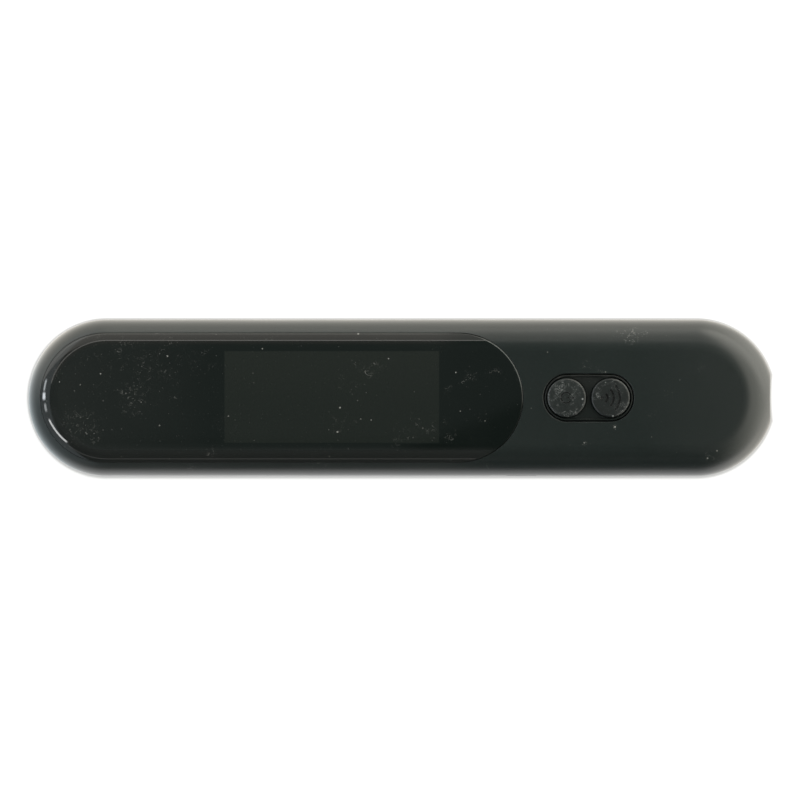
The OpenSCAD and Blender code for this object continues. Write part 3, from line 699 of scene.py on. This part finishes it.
def rounded(chart, features, side, scoop=True):
    """Surface points and normals with edges rounded over. features: (loop, radius, out)."""
    points, normals = surface(chart, side, scoop=scoop)
    drop = np.zeros(len(chart))
    turned = normals.copy()
    for loop, radius, out in features:
        distance, away = near_edge(chart, loop, out)
        nudged, _ = surface(chart + away * 1e-3, side, scoop=scoop)
        tangent = nudged - points
        tangent -= normals * (tangent * normals).sum(1)[:, None]
        tangent /= np.maximum(np.linalg.norm(tangent, axis=1), 1e-12)[:, None]
        cos = np.clip(1 - distance / radius, 0, 1)
        sin = np.sqrt(1 - cos * cos)
        fall = radius * (1 - sin)
        better = (distance < radius - 1e-7) & (fall > drop)
        drop = np.where(better, fall, drop)
        turned[better] = (-tangent * cos[:, None] + normals * sin[:, None])[better]
    return points - normals * drop[:, None], turned


# ---------------------------------------------------------------------------
# Solids
# ---------------------------------------------------------------------------


class Solid:
    """Faces with a normal for each corner, so that shading is exact where the surface is known."""

    def __init__(self):
        self.verts, self.faces, self.normals = [], [], []

    def points(self, points):
        first = len(self.verts)
        self.verts += [tuple(p) for p in points]
        return list(range(first, len(self.verts)))

    def dropped(self, ids, z):
        """New points straight above or below others, at height z."""
        return self.points([(self.verts[i][0], self.verts[i][1], z) for i in ids])

    def face(self, ids, normals=None):
        self.faces.append(list(ids))
        self.normals.append(normals)

    def skin(self, points, normals, faces, flip=False):
        ids = self.points(points)
        for t in faces:
            t = t[::-1] if flip else t
            self.face([ids[i] for i in t], [tuple(normals[i]) for i in t])
        return ids

    def flat_skin(self, plan, faces, z, facing):
        """A level skin that faces up (1.0) or down (-1.0)."""
        return self.skin(np.column_stack([plan, np.full(len(plan), z)]),
                         np.tile([0.0, 0.0, facing], (len(plan), 1)), faces, flip=facing < 0)

    def join(self, upper, lower, flip=False, normal_at=None):
        """Faces between two closed chains that run the same way; their lengths may differ. Chains of
        equal length make a straight wall that takes the upper points' normals, if given."""
        upper_at = np.array([self.verts[i] for i in upper])
        lower_at = np.array([self.verts[i] for i in lower])
        k = ((lower_at - upper_at[0]) ** 2).sum(1).argmin()
        lower = lower[k:] + lower[:k]
        lower_at = np.roll(lower_at, -k, 0)
        nu, nl = len(upper), len(lower)
        i = j = 0
        while i < nu or j < nl:
            a, b = upper[i % nu], lower[j % nl]
            next_a, next_b = upper[(i + 1) % nu], lower[(j + 1) % nl]
            normals = None
            if nu == nl:
                ids = [next_a, a, b, next_b]
                if normal_at is not None:
                    normals = [normal_at[v] for v in (next_a, a, a, next_a)]
                i += 1
                j += 1
            else:
                gap_a = np.linalg.norm(upper_at[(i + 1) % nu] - lower_at[j % nl]) if i < nu else 1e9
                gap_b = np.linalg.norm(upper_at[i % nu] - lower_at[(j + 1) % nl]) if j < nl else 1e9
                if gap_a <= gap_b:
                    ids = [next_a, a, b]
                    i += 1
                else:
                    ids = [a, b, next_b]
                    j += 1
            if flip:
                ids = ids[::-1]
                normals = normals[::-1] if normals else None
            self.face(ids, normals)

    def plate(self, outer, inner, bottom, top):
        """A closed flat plate between two heights; inner is the outline of its hole, or None."""
        outer_top = self.points([(x, y, top) for x, y in outer])
        outer_low = self.points([(x, y, bottom) for x, y in outer])
        self.join(outer_top, outer_low)
        if inner is None:
            self.face(outer_top)
            self.face(outer_low[::-1])
            return
        inner_top = self.points([(x, y, top) for x, y in inner])
        inner_low = self.points([(x, y, bottom) for x, y in inner])
        self.join(inner_top, inner_low, flip=True)
        self.join(inner_top, outer_top, flip=True)
        self.join(inner_low, outer_low)

    def build(self, name, material, body, part):
        """The object, riding on body in place of the CAD part."""
        mesh = bpy.data.meshes.new(name)
        mesh.from_pydata([Vector(p) * MM for p in self.verts], [], self.faces)
        mesh.validate(verbose=False)
        made = bpy.data.objects.new(name, mesh)
        bpy.context.scene.collection.objects.link(made)
        mesh.materials.append(material)
        mesh.polygons.foreach_set("use_smooth", [True] * len(mesh.polygons))
        mesh.update()
        # the stored normals only fit if validation dropped no face
        if len(mesh.polygons) == len(self.faces):
            flat = np.zeros(len(mesh.polygons) * 3)
            mesh.polygons.foreach_get("normal", flat)
            corners = []
            for ids, own, normals in zip(self.faces, flat.reshape(-1, 3), self.normals):
                corners += [tuple(own)] * len(ids) if normals is None else [tuple(v) for v in normals]
            mesh.normals_split_custom_set(corners)
        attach(made, body)
        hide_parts(part)
        return made


# ---------------------------------------------------------------------------
# Casing shells
# ---------------------------------------------------------------------------

RUN_MAX = FLAT_R + EDGE_R * HALF_PI - 0.02      # just short of the line where the shells meet
RIM_R = 0.11                                    # rounding of each shell's rim


def body_grid(run_max, step_x=2.2, ring=0.54, dense_end=True):
    """Chart points over the body: rings round the ends and straight rows between, ring mm apart over
    the curved edge; dense_end puts a fine grid over the middle of the port end."""
    points = []
    runs = list(np.arange(0.9, FLAT_R, 1.55)) + list(np.arange(FLAT_R, run_max - 0.1, ring))
    xs = np.linspace(LEFT_X, RIGHT_X, int((RIGHT_X - LEFT_X) / step_x) + 1)
    for run in runs:
        for x in xs:
            points += [(x, run), (x, -run)]
        if run >= FLAT_R:
            n = 72 if ring < 1 else 40
        else:
            n = max(6, int(math.pi * run / 1.3))
        for i in range(1, n):
            a = HALF_PI - math.pi * i / n
            points += [(RIGHT_X + run * math.cos(a), run * math.sin(a)),
                       (LEFT_X - run * math.cos(a), run * math.sin(a))]
    points += [(x, 0.0) for x in xs]
    if dense_end:
        start = RIGHT_X + 14.0
        points = [p for p in points if not (p[0] > start and abs(p[1]) < 8.4)]
        for x in np.arange(start, RIGHT_X + run_max - 0.05, 0.24):
            for y in np.arange(-8.3, 8.31, 0.30):
                if math.hypot(x - RIGHT_X, y) < run_max - 0.05:
                    points.append((x, y))
    return np.array(points)


def equator_loop():
    """Chart outline of a shell's rim, without the points near 17.8 degrees to either side of +X on
    the port end."""
    span = RIGHT_X - LEFT_X
    n = 120
    m = int(span / 1.5)
    points = [(RIGHT_X + RUN_MAX * math.cos(a), RUN_MAX * math.sin(a))
              for a in np.linspace(-HALF_PI, HALF_PI, n + 1)]
    points += [(RIGHT_X - span * i / m, RUN_MAX) for i in range(1, m)]
    points += [(LEFT_X + RUN_MAX * math.cos(a), RUN_MAX * math.sin(a))
               for a in np.linspace(HALF_PI, 3 * HALF_PI, n + 1)]
    points += [(LEFT_X + span * i / m, -RUN_MAX) for i in range(1, m)]
    loop = np.array(points)
    x, y = loop[:, 0], loop[:, 1]
    bearing = np.degrees(np.arctan2(np.abs(y), np.maximum(x - RIGHT_X, 1e-6)))
    return loop[~((x > RIGHT_X) & (np.abs(bearing - 17.8) < 1.9))]


def shell_openings(side):
    """Outer chart loop, inner chart loop (None for a blind hole) and edge radius of each opening."""
    port = slot_loop(0, MID, PORT_WIDTH, PORT_HEIGHT / 2, spacing=0.40, arc=6.0)
    tray = slot_loop(TRAY_X, MID, TRAY_WIDTH, TRAY_HEIGHT / 2, spacing=0.7, arc=9.0)
    openings = [(anticlockwise(unroll_end(port, side)),
                 anticlockwise(unroll_end(port, side, INNER_R)), 0.14),
                (anticlockwise(unroll_side(tray, side)),
                 anticlockwise(unroll_side(tray, side, INNER_R)), 0.07)]
    if side > 0:
        seat = anticlockwise(unroll_plan(
            slot_loop(WINDOW_X, 0, SEAT_LENGTH, SEAT_R, spacing=1.2, arc=2.0)))
        key = slot_loop(KEY_X, 0, KEY_LENGTH, KEY_WIDTH / 2, spacing=0.6, arc=5.0)
        return openings + [(seat, seat, 0.04), (key, key, 0.16)]
    return openings + [(anticlockwise(unroll_plan(circle_loop(x, y, SCREW_R, 48))), None, 0.14)
                       for x, y in SCREWS]


def add_window_seat(solid):
    """The plate under the window, with a rectangular hole for the display."""
    corners = [(-36.95, -10.55), (9.55, -10.55), (9.55, 10.55), (-36.95, 10.55)]
    hole = [(x0 + (x1 - x0) * i / 12, y0 + (y1 - y0) * i / 12)
            for (x0, y0), (x1, y1) in zip(corners, corners[1:] + corners[:1]) for i in range(12)]
    rim = slot_loop(WINDOW_X, 0, SEAT_LENGTH + 0.6, SEAT_R + 0.3, spacing=6, arc=6)
    solid.plate(rim, np.array(hole), bottom=10.0, top=11.0)


def add_tongue(solid):
    """The tongue that drops inside the lower shell, broken at the port and at the card tray."""
    radius, half_width, port_angle, tray_gap = 14.62, 0.32, 31, 0.4
    tray_start = TRAY_X - TRAY_WIDTH / 2 - tray_gap
    tray_end = TRAY_X + TRAY_WIDTH / 2 + tray_gap
    around = [(RIGHT_X + radius * math.cos(a), radius * math.sin(a))
              for a in np.linspace(math.radians(port_angle), HALF_PI, 30)]
    around += [(x, radius) for x in np.linspace(RIGHT_X, LEFT_X, 40)[1:-1]]
    around += [(LEFT_X - radius * math.sin(a), radius * math.cos(a))
               for a in np.linspace(0, math.pi, 70)]
    around += [(x, -radius) for x in np.linspace(LEFT_X, tray_start, 30)[1:]]
    short = [(x, -radius) for x in np.linspace(tray_end, RIGHT_X, 16)[:-1]]
    short += [(RIGHT_X + radius * math.sin(a), -radius * math.cos(a))
              for a in np.linspace(0, math.radians(90 - port_angle), 30)]
    for path in (around, short):
        line = np.array(path)
        aside = right_of(np.gradient(line, axis=0)) * half_width
        outline = anticlockwise(np.concatenate([line + aside, (line - aside)[::-1]]))
        solid.plate(outline, None, bottom=5.75, top=7.0)


def middle(points):
    return (points.min(0) + points.max(0)) / 2


def shell(side):
    """One half of the casing: rounded outer skin, inner skin one wall in, and every opening's walls."""
    rim = equator_loop()
    openings = shell_openings(side)
    loops = rows_of(rim, RIM_R, -1.0)
    for loop, _, radius in openings:
        loops += rows_of(loop, radius, 1.0)
    chart, faces = triangulate(loops, body_grid(RUN_MAX), 0.26, rim, [o[0] for o in openings])
    features = [(rim, RIM_R, -1.0)] + [(loop, radius, 1.0) for loop, _, radius in openings]
    points, normals = rounded(chart, features, side)

    inner_loops = [inner for _, inner, _ in openings if inner is not None]
    inner_grid = body_grid(RUN_MAX, step_x=4.0, ring=1.25, dense_end=False)
    inner_chart, inner_faces = triangulate([rim] + inner_loops, inner_grid, 0.35, rim, inner_loops)
    inner_points, inner_normals = surface(inner_chart, side, INNER_R, scoop=False)
    if side > 0:
        # the roof thickens round the window, where its seat is
        distance, _ = near(inner_chart, openings[2][0])
        z = inner_points[:, 2]
        low = 10.9 + (z - 10.9) * np.clip((distance - 0.8) / 0.5, 0, 1)
        inner_points[:, 2] = np.minimum(z, low)

    solid = Solid()
    flip = side < 0
    ids = solid.skin(points, normals, faces, flip)
    inner_ids = solid.skin(inner_points, -inner_normals, inner_faces, not flip)
    normal_at = {i: tuple(v) for i, v in zip(ids, normals)}
    screw_middles = unroll_plan(SCREWS)
    free = chains(inner_faces)
    for chain in chains(faces):
        centre = middle(chart[chain])
        upper = [ids[i] for i in chain]
        to_screw = np.linalg.norm(screw_middles - centre, axis=1).min()
        if side < 0 and to_screw < 1.0 and len(chain) < 80:
            # a blind screw hole
            lower = solid.dropped(upper, 1.3)
            solid.join(upper, lower, flip, normal_at)
            solid.face(lower)
            continue
        k = min(range(len(free)), key=lambda i: np.linalg.norm(middle(inner_chart[free[i]]) - centre)
                + abs(len(free[i]) - len(chain)) * 0.02)
        lower = [inner_ids[i] for i in free.pop(k)]
        if side > 0 and len(chain) > 60 and abs(centre[0] - WINDOW_X) < 2:
            wall = solid.dropped(upper, 10.95)
            solid.join(upper, wall, flip, normal_at)
            solid.join(wall, lower, flip)
        elif side > 0 and abs(centre[0] - KEY_X) < 1 and len(chain) < 120:
            solid.join(upper, lower, flip, normal_at)
        else:
            solid.join(upper, lower, flip)
    if side > 0:
        add_window_seat(solid)
        add_tongue(solid)
    return solid


# ---------------------------------------------------------------------------
# Window, key frame and key pads
# ---------------------------------------------------------------------------


def window_softness(chart):
    """Edge radius: crisp along the sides, softer round the +X end."""
    return 0.11 + 0.19 * np.clip((chart[:, 0] - 8.0) / 8.0, 0, 1)


def window_lens():
    loop = anticlockwise(unroll_plan(
        slot_loop(WINDOW_X, 0, WINDOW_LENGTH, WINDOW_R, spacing=0.9, arc=2.0)))
    grid = body_grid(FLAT_R + 5.2, step_x=1.6, ring=0.5, dense_end=False)
    chart, faces = triangulate(rows_of(loop, window_softness(loop), -1.0), grid, 0.36, loop)
    points, normals = rounded(chart, [(loop, window_softness(chart), -1.0)], 1, scoop=False)
    solid = Solid()
    ids = solid.skin(points, normals, faces)
    for chain in chains(faces):
        upper = [ids[i] for i in chain]
        lower = solid.dropped(upper, 11.2)
        solid.join(upper, lower, normal_at={ids[i]: tuple(normals[i]) for i in chain})
        solid.face(lower[::-1])
    return solid


def key_frame():
    """A sunk plate with a fine raised lip, whose two round holes hold the pads."""
    edge_r, hole_edge_r = 0.10, 0.08
    sunk, lip_start, lip_end = 0.42, 0.20, 0.42     # depth, and where the slope runs from the edge
    outer = slot_loop(KEY_X, 0, KEY_LENGTH - 0.6, KEY_WIDTH / 2 - 0.3, spacing=0.5, arc=4.0)
    holes = [circle_loop(centre, 0, 4.01, PAD_SEGMENTS) for centre in KEY_CENTRES]
    loops = rows_of(outer, edge_r, -1.0)
    for hole in holes:
        loops += rows_of(hole, hole_edge_r, 1.0)
    loops += [offset(outer, -(lip_start + (lip_end - lip_start) * t))
              for t in (0.0, 0.25, 0.5, 0.75, 1.0)]
    grid = [(x, y) for x in np.arange(KEY_X - 9.1, KEY_X + 9.2, 0.3)
            for y in np.arange(-4.8, 4.81, 0.3)]
    plan, faces = triangulate(loops, grid, 0.10, outer, holes)
    distance, away = near_edge(plan, outer, -1.0)

    def fall(d):
        c = np.clip(1 - d / edge_r, 0, 1)
        t = np.clip((d - lip_start) / (lip_end - lip_start), 0, 1)
        return edge_r * (1 - np.sqrt(1 - c * c)) + sunk * t * t * (3 - 2 * t)
    slope = (fall(distance + 0.002) - fall(np.maximum(distance - 0.002, 0))) / 0.004
    drop = fall(distance)
    normals = np.column_stack([away * slope[:, None], np.ones(len(plan))])
    on = distance < 1e-5
    normals[on] = np.column_stack([-away[on] * 4, np.ones(on.sum())])
    normals /= np.linalg.norm(normals, axis=1)[:, None]
    for hole in holes:
        distance, away = near_edge(plan, hole, 1.0)
        cos = np.clip(1 - distance / hole_edge_r, 0, 1)
        sin = np.sqrt(1 - cos * cos)
        close = distance < hole_edge_r - 1e-7
        drop[close] += (hole_edge_r * (1 - sin))[close]
        normals[close] = np.column_stack([-away * cos[:, None], sin])[close]
    solid = Solid()
    upper = solid.skin(np.column_stack([plan, THICKNESS - drop]), normals, faces)
    lower = solid.flat_skin(plan, faces, 11.2, -1.0)
    for chain in chains(faces):
        solid.join([upper[i] for i in chain], [lower[i] for i in chain],
                   normal_at={upper[i]: tuple(normals[i]) for i in chain})

    # the flange that holds the frame under the roof
    flange = slot_loop(KEY_X, 0, KEY_LENGTH + 2.1, KEY_WIDTH / 2 + 1.05, spacing=0.6, arc=6.0)
    holes = [circle_loop(centre, 0, 4.36, 64) for centre in KEY_CENTRES]
    grid = [(x, y) for x in np.arange(KEY_X - 10, KEY_X + 10, 0.8) for y in np.arange(-5.6, 5.7, 0.8)]
    plan, faces = triangulate([flange] + holes, grid, 0.2, flange, holes)
    upper = solid.flat_skin(plan, faces, 11.46, 1.0)
    lower = solid.flat_skin(plan, faces, 10.92, -1.0)
    for chain in chains(faces):
        solid.join([upper[i] for i in chain], [lower[i] for i in chain])
    return solid


def pad(centre, icon):
    """A round key with a slightly crowned face, a soft edge and a sunk icon."""
    crown, icon_depth = 0.05, 0.12
    flat_r = PAD_R - PAD_SOFT
    disc = circle_loop(centre, 0, flat_r, PAD_SEGMENTS)
    loops = [disc]
    for loop in icon:
        loops += [loop, offset(loop, -0.035)]
    grid = [(centre, 0.0)]
    for r in np.arange(0.22, flat_r - 0.05, 0.22):
        k = max(6, int(2 * math.pi * r / 0.24))
        grid += [(centre + r * math.cos(2 * math.pi * i / k), r * math.sin(2 * math.pi * i / k))
                 for i in range(k)]
    plan, faces = triangulate(loops, grid, 0.06, disc)
    out = plan - [centre, 0]
    reach = np.linalg.norm(out, axis=1)
    sunk = np.zeros(len(plan), bool)
    for loop in icon:
        sunk |= inside(plan, offset(loop, -0.034))
    z = PAD_TOP - crown * (reach / flat_r) ** 2 - icon_depth * sunk
    slope = 2 * crown * reach / flat_r ** 2
    unit = out / np.maximum(reach, 1e-9)[:, None]
    normals = np.stack([unit[:, 0] * slope, unit[:, 1] * slope, np.ones(len(plan))], 1)
    normals /= np.linalg.norm(normals, axis=1)[:, None]
    solid = Solid()
    ids = solid.points(np.column_stack([plan, z]))
    for t in faces:
        icon_wall = sunk[t].any() and not sunk[t].all()
        solid.face([ids[i] for i in t], None if icon_wall else [tuple(normals[i]) for i in t])
    above = [ids[i] for i in chains(faces)[0]]
    # start the rings at the disc's first point
    first = min(range(len(above)), key=lambda k: (solid.verts[above[k]][0] - centre - flat_r) ** 2
                + solid.verts[above[k]][1] ** 2)
    above = above[first:] + above[:first]

    # profile down the side: radius, z, outward and upward parts of the normal. Rows that repeat a
    # place mark sharp corners and share one ring of points.
    tilt = math.atan(2 * crown / flat_r)
    profile = [(flat_r, PAD_TOP - crown, math.sin(tilt), math.cos(tilt))]
    for degrees in (14, 28, 42, 56, 70, 82, 90):
        sin, cos = math.sin(math.radians(degrees)), math.cos(math.radians(degrees))
        profile.append((flat_r + PAD_SOFT * sin, PAD_TOP - crown - PAD_SOFT * (1 - cos), sin, cos))
    profile += [(PAD_R, 10.85, 1, 0), (PAD_R, 10.85, 0, 1), (4.28, 10.85, 0, 1), (4.28, 10.85, 1, 0),
                (4.28, 10.25, 1, 0), (4.28, 10.25, 0, -1), (1.2, 10.25, 0, -1), (1.2, 10.25, 1, 0),
                (1.2, 10.02, 1, 0)]
    a = np.arange(PAD_SEGMENTS) * 2 * math.pi / PAD_SEGMENTS
    cos, sin = np.cos(a), np.sin(a)

    def normal(row, k):
        return row[2] * cos[k], row[2] * sin[k], row[3]
    row_above = profile[0]
    for row in profile[1:]:
        if row[:2] != row_above[:2]:
            ring = solid.points(np.stack([centre + row[0] * cos, row[0] * sin,
                                          np.full(PAD_SEGMENTS, row[1])], 1))
            for i in range(PAD_SEGMENTS):
                j = (i + 1) % PAD_SEGMENTS
                solid.face([above[j], above[i], ring[i], ring[j]],
                           [normal(row_above, j), normal(row_above, i), normal(row, i), normal(row, j)])
            above = ring
        row_above = row
    solid.face(above[::-1])
    return solid


def stroke(path, width):
    """Closed outline of a round-ended stroke along path."""
    line = np.array(path, float)
    aside = right_of(np.gradient(line, axis=0)) * width / 2

    def cap(end, start):
        a = math.atan2(start[1], start[0])
        return [end + width / 2 * np.array([math.cos(a + k), math.sin(a + k)])
                for k in np.linspace(0, math.pi, 9)[1:-1]]
    outline = list(line + aside) + cap(line[-1], aside[-1])
    outline += list((line - aside)[::-1]) + cap(line[0], -aside[0])
    return anticlockwise(np.array(outline))


def arc_points(centre_x, radius, start, end, n):
    return [(centre_x + radius * math.cos(math.radians(a)), radius * math.sin(math.radians(a)))
            for a in np.linspace(start, end, n)]


def power_icon(centre):
    """A broken ring and a bar, turned towards the port end."""
    return [stroke(arc_points(centre - 0.10, 1.05, 40, 320, 40), width=0.34),
            stroke([(centre + 0.25, 0), (centre + 1.35, 0)], width=0.34)]


def wave_icon(centre):
    """A dot with arcs spreading towards the port end."""
    dot_x = centre - 1.72
    return [circle_loop(dot_x, 0, 0.36, 24)] + [
        stroke(arc_points(dot_x, radius, -40, 40, 28), width=0.50) for radius in (1.10, 2.35, 3.60)]


POWER_X, WIFI_X = KEY_CENTRES
# name, solid, what it rides on, the part it replaces, finish
PIECES = (
    ("top_shell", shell(1), "body", "top_housing", "housing"),
    ("bottom_shell", shell(-1), "body", "bottom_housing", "housing"),
    ("window_lens", window_lens(), "body", "display_window", "window"),
    ("key_frame", key_frame(), "body", "key_bezel", "bezel"),
    ("power_pad", pad(POWER_X, power_icon(POWER_X)), "power_key", "power_button", "pad"),
    ("wifi_pad", pad(WIFI_X, wave_icon(WIFI_X)), "wifi_key", "wifi_button", "pad"),
)
for name, solid, body, part, finish in PIECES:
    solid.build(name, material_of[part], body, part)

# ---------------------------------------------------------------------------
# Studio
# ---------------------------------------------------------------------------

DEGREES = 180 / math.pi
# windows of the sky: azimuth from, to, elevation from, to, softness, where azimuth wraps (0 for the
# usual -180 to 180), climb in degrees per degree of azimuth, colour, radiance
LAMPS = (
    (163.5, 173.5, 23.0, 30.0, 1.5, 0.0, 0.0, (0.92, 0.97, 1.0), 8.0),
    (175.5, 181.5, 22.0, 33.0, 1.5, 100.0, 0.0, (0.90, 0.94, 1.0), 16.0),
    (185.5, 192.5, 26.5, 35.0, 1.5, 100.0, 0.0, (0.94, 0.97, 1.0), 6.0),
    (200.5, 227.5, 29.5, 36.0, 1.2, 100.0, 0.28, (1.0, 1.0, 1.0), 12.0),
    (231.0, 282.0, 33.4, 35.0, 0.6, 100.0, 0.0, (1.0, 0.98, 0.95), 1.5),
    (50.0, 165.0, 47.8, 50.4, 0.5, 0.0, 0.0, (1.0, 0.98, 0.93), 2.6),
)


def sky_window(azimuth, elevation, left, right, low, high, soft, wrap, climb):
    """1 inside one window of the sky, 0 outside it; angles in degrees."""
    if wrap:
        azimuth = calc("FLOORED_MODULO", azimuth - wrap, 360.0) + wrap
    if climb:
        elevation = elevation - (azimuth - left) * climb
    return (step(azimuth, left - soft, left + soft) * step(azimuth, right + soft, right - soft)
            * step(elevation, low - soft, low + soft) * step(elevation, high + soft, high - soft))


def build_world():
    world = bpy.data.worlds.new("studio")
    bpy.context.scene.world = world
    tree = new_tree(world)
    x, y, z = xyz(add(tree, "ShaderNodeTexCoord", output="Generated"))
    elevation = calc("ARCSINE", z) * DEGREES
    azimuth = calc("ARCTAN2", y, x) * DEGREES
    above = step(z, 0.0, 0.02)
    height = most(z, 0.0)
    # mask, colour, radiance
    layers = [
        # overhead card
        (step(z + least(y, 0.0) * 0.35, 0.50, 0.92), (0.88, 1.0, 0.97), 0.175),
        # long window on +Y
        (step(y - z * 0.863, -0.02, 0.02) * above * (1.80 - 1.42 * height), (1.0, 0.968, 0.905), 0.97),
        # its brighter neighbour on +X
        (step(x - z * 0.44, -0.05, 0.08) * above * (3.3 - 1.8 * height)
         * step(azimuth, -80.0, -12.0), (1.0, 0.968, 0.868), 1.09),
        # cool daylight on -X
        (step(-x - z * 0.85, -0.06, 0.06) * above, (0.84, 0.95, 1.0), 0.72),
        # dim -Y
        (step(-y - z * 0.60, -0.02, 0.10) * above, (1.0, 1.0, 1.0), 0.02),
    ]
    # small bright lamps and window edges, which only the glossy window shows clearly
    layers += [(sky_window(azimuth, elevation, *place), colour, power)
               for *place, colour, power in LAMPS]
    total = [0.0, 0.0, 0.0]
    for mask, colour, power in layers:
        total = [mask * (colour[i] * power) + total[i] for i in range(3)]
    sky = add(tree, "ShaderNodeCombineColor", total)
    camera_ray = add(tree, "ShaderNodeLightPath", output="Is Camera Ray")
    background = add(tree, "ShaderNodeBackground", (mix(camera_ray, sky, (1.0, 1.0, 0.995)),))
    node(tree, "ShaderNodeOutputWorld", (background,))


def floor_material():
    """What the body mirrors of the floor is brightest beyond the port end, dimmer along -Y and close
    in under the body; the camera itself sees plain white with a faint contact shade."""
    made = bpy.data.materials.new("floor_white")
    tree = new_tree(made)
    geometry = add(tree, "ShaderNodeNewGeometry", output="Position")
    x, y, _ = xyz(geometry)
    off_spine = x - least(most(x, LEFT_X * MM), RIGHT_X * MM)
    run = most(length(off_spine, y), 0.002)
    unit_x, unit_y = off_spine / run, y / run
    gap = run - END_R * MM
    east = step(unit_x, -0.1, 0.85)
    west = step(-unit_x, 0.1, 0.9)
    north = step(unit_y, -0.3, 0.8)
    south = step(-unit_y, 0.0, 0.75)
    close_in = step_mm(gap, 34, 5)
    bearing = calc("ARCTAN2", y, x) * DEGREES
    east = east * (step(bearing, -76.0, -13.0) * 0.86 + 0.14)
    tone = (north * (1.88 + close_in * 0.14) * (1.0 - east)
            + west * (0.95 + close_in * 0.78) * (1.0 - north * 0.5)
            + east * (2.15 + step_mm(gap, 8, 32) * 1.35)
            + south * (0.06 + step_mm(gap, 66, 6) * (1.32 + step_mm(x, -30, -60) * 0.25))
            * (1.0 - east) * (1.0 - west))
    seen = add(tree, "ShaderNodeLightPath", output="Is Camera Ray")
    # the contact shade follows the scooped end
    gap = most(gap, x - SCOOP_X * MM - y * y * 9.26)
    shade = 0.34 + step_mm(gap, -1.2, 0.9) * 0.62 + step_mm(gap, 0.0, 20) * 0.06
    # from straight above it is only a narrow soft line, a little wider along -Y and -X
    _, _, upward = xyz(geometry.other("Incoming"))
    widen = most(most(unit_y * -1.0, unit_x * -0.35), 0.0)
    line = clamp((gap - 0.00004 - widen * 0.00008) / (0.00050 + widen * 0.00032))
    line = line * line * (3.0 - line * 2.0)
    over = step(upward, 0.97, 0.995)
    shade = shade * (1.0 - over) + (0.52 + line * 0.57) * over
    warm = most(north, east) * (1.0 - seen)
    cool = west * (1.0 - north) * (1.0 - seen)
    colour = mix(cool, mix(warm, (1.0, 1.0, 0.992), (1.0, 0.955, 0.87)), (0.86, 0.96, 1.0))
    glow = add(tree, "ShaderNodeEmission", (colour, tone * (1.0 - seen) + seen * shade * 0.84))
    matte = add(tree, "ShaderNodeBsdfDiffuse", (mix(seen, (0.0, 0.0, 0.0), (0.22, 0.22, 0.219)),))
    node(tree, "ShaderNodeOutputMaterial", (add(tree, "ShaderNodeAddShader", (matte, glow)),))
    return made


def card_material():
    """Dimmer past a slanting edge, which shows in the glossy window."""
    made = bpy.data.materials.new("card_glow")
    tree = new_tree(made)
    x, y, _ = xyz(add(tree, "ShaderNodeNewGeometry", output="Position"))
    x, y = x / 1.045, y / 1.045
    low = y - (-0.0090 + (x + 0.060) * 0.010)
    line = step_mm(abs(low + 0.0003), 0.7, 0.2) * step_mm(x, 12, 4)
    slant = (y - (-0.0080 + (x - 0.0081) * 0.43)) * 0.92
    lit = least(step_mm(slant, -0.9, 0.9) + step_mm(x, 6, -4), 1.0) * (1.0 - line * 0.8)
    strength = 0.060 + lit * (0.150 - step_mm(x, 0.0, 35) * 0.050)
    glow = add(tree, "ShaderNodeEmission", ((0.88, 1.0, 0.97), strength))
    node(tree, "ShaderNodeOutputMaterial", (glow,))
    return made


build_world()

bpy.ops.mesh.primitive_circle_add(vertices=128, radius=3.0, fill_type="NGON",
                                  location=(0, 0, -0.00002))
floor = bpy.context.object
floor.name = "floor"
floor.data.materials.append(floor_material())

# a card high above the object, which only mirrored light meets
bpy.ops.mesh.primitive_plane_add(size=0.26, location=(0, 0, 0.3))
card = bpy.context.object
card.name = "overhead_card"
card.data.materials.append(card_material())
card.visible_camera = False
card.visible_diffuse = False
card.visible_shadow = False

# the camera looks straight down from far off, so that it sees hardly any perspective
VIEW_WIDTH = 161.6                      # mm across the picture at the body's mid height
CAMERA_X, CAMERA_Y = 0.0228, -0.4545    # mm
camera_data = bpy.data.cameras.new("camera")
camera = bpy.data.objects.new("camera", camera_data)
scene = bpy.context.scene
scene.collection.objects.link(camera)
camera_data.sensor_width = 36
camera_data.lens = 1500
distance = camera_data.lens / camera_data.sensor_width * VIEW_WIDTH
camera.location = (CAMERA_X * MM, CAMERA_Y * MM, (MID + distance) * MM)
camera.rotation_euler = (0, 0, 0)
camera_data.clip_start, camera_data.clip_end = 0.05, 60
scene.camera = camera

scene.view_settings.view_transform = "Standard"
scene.view_settings.look = "None"
scene.view_settings.exposure = 0.0
scene.view_settings.gamma = 1.0
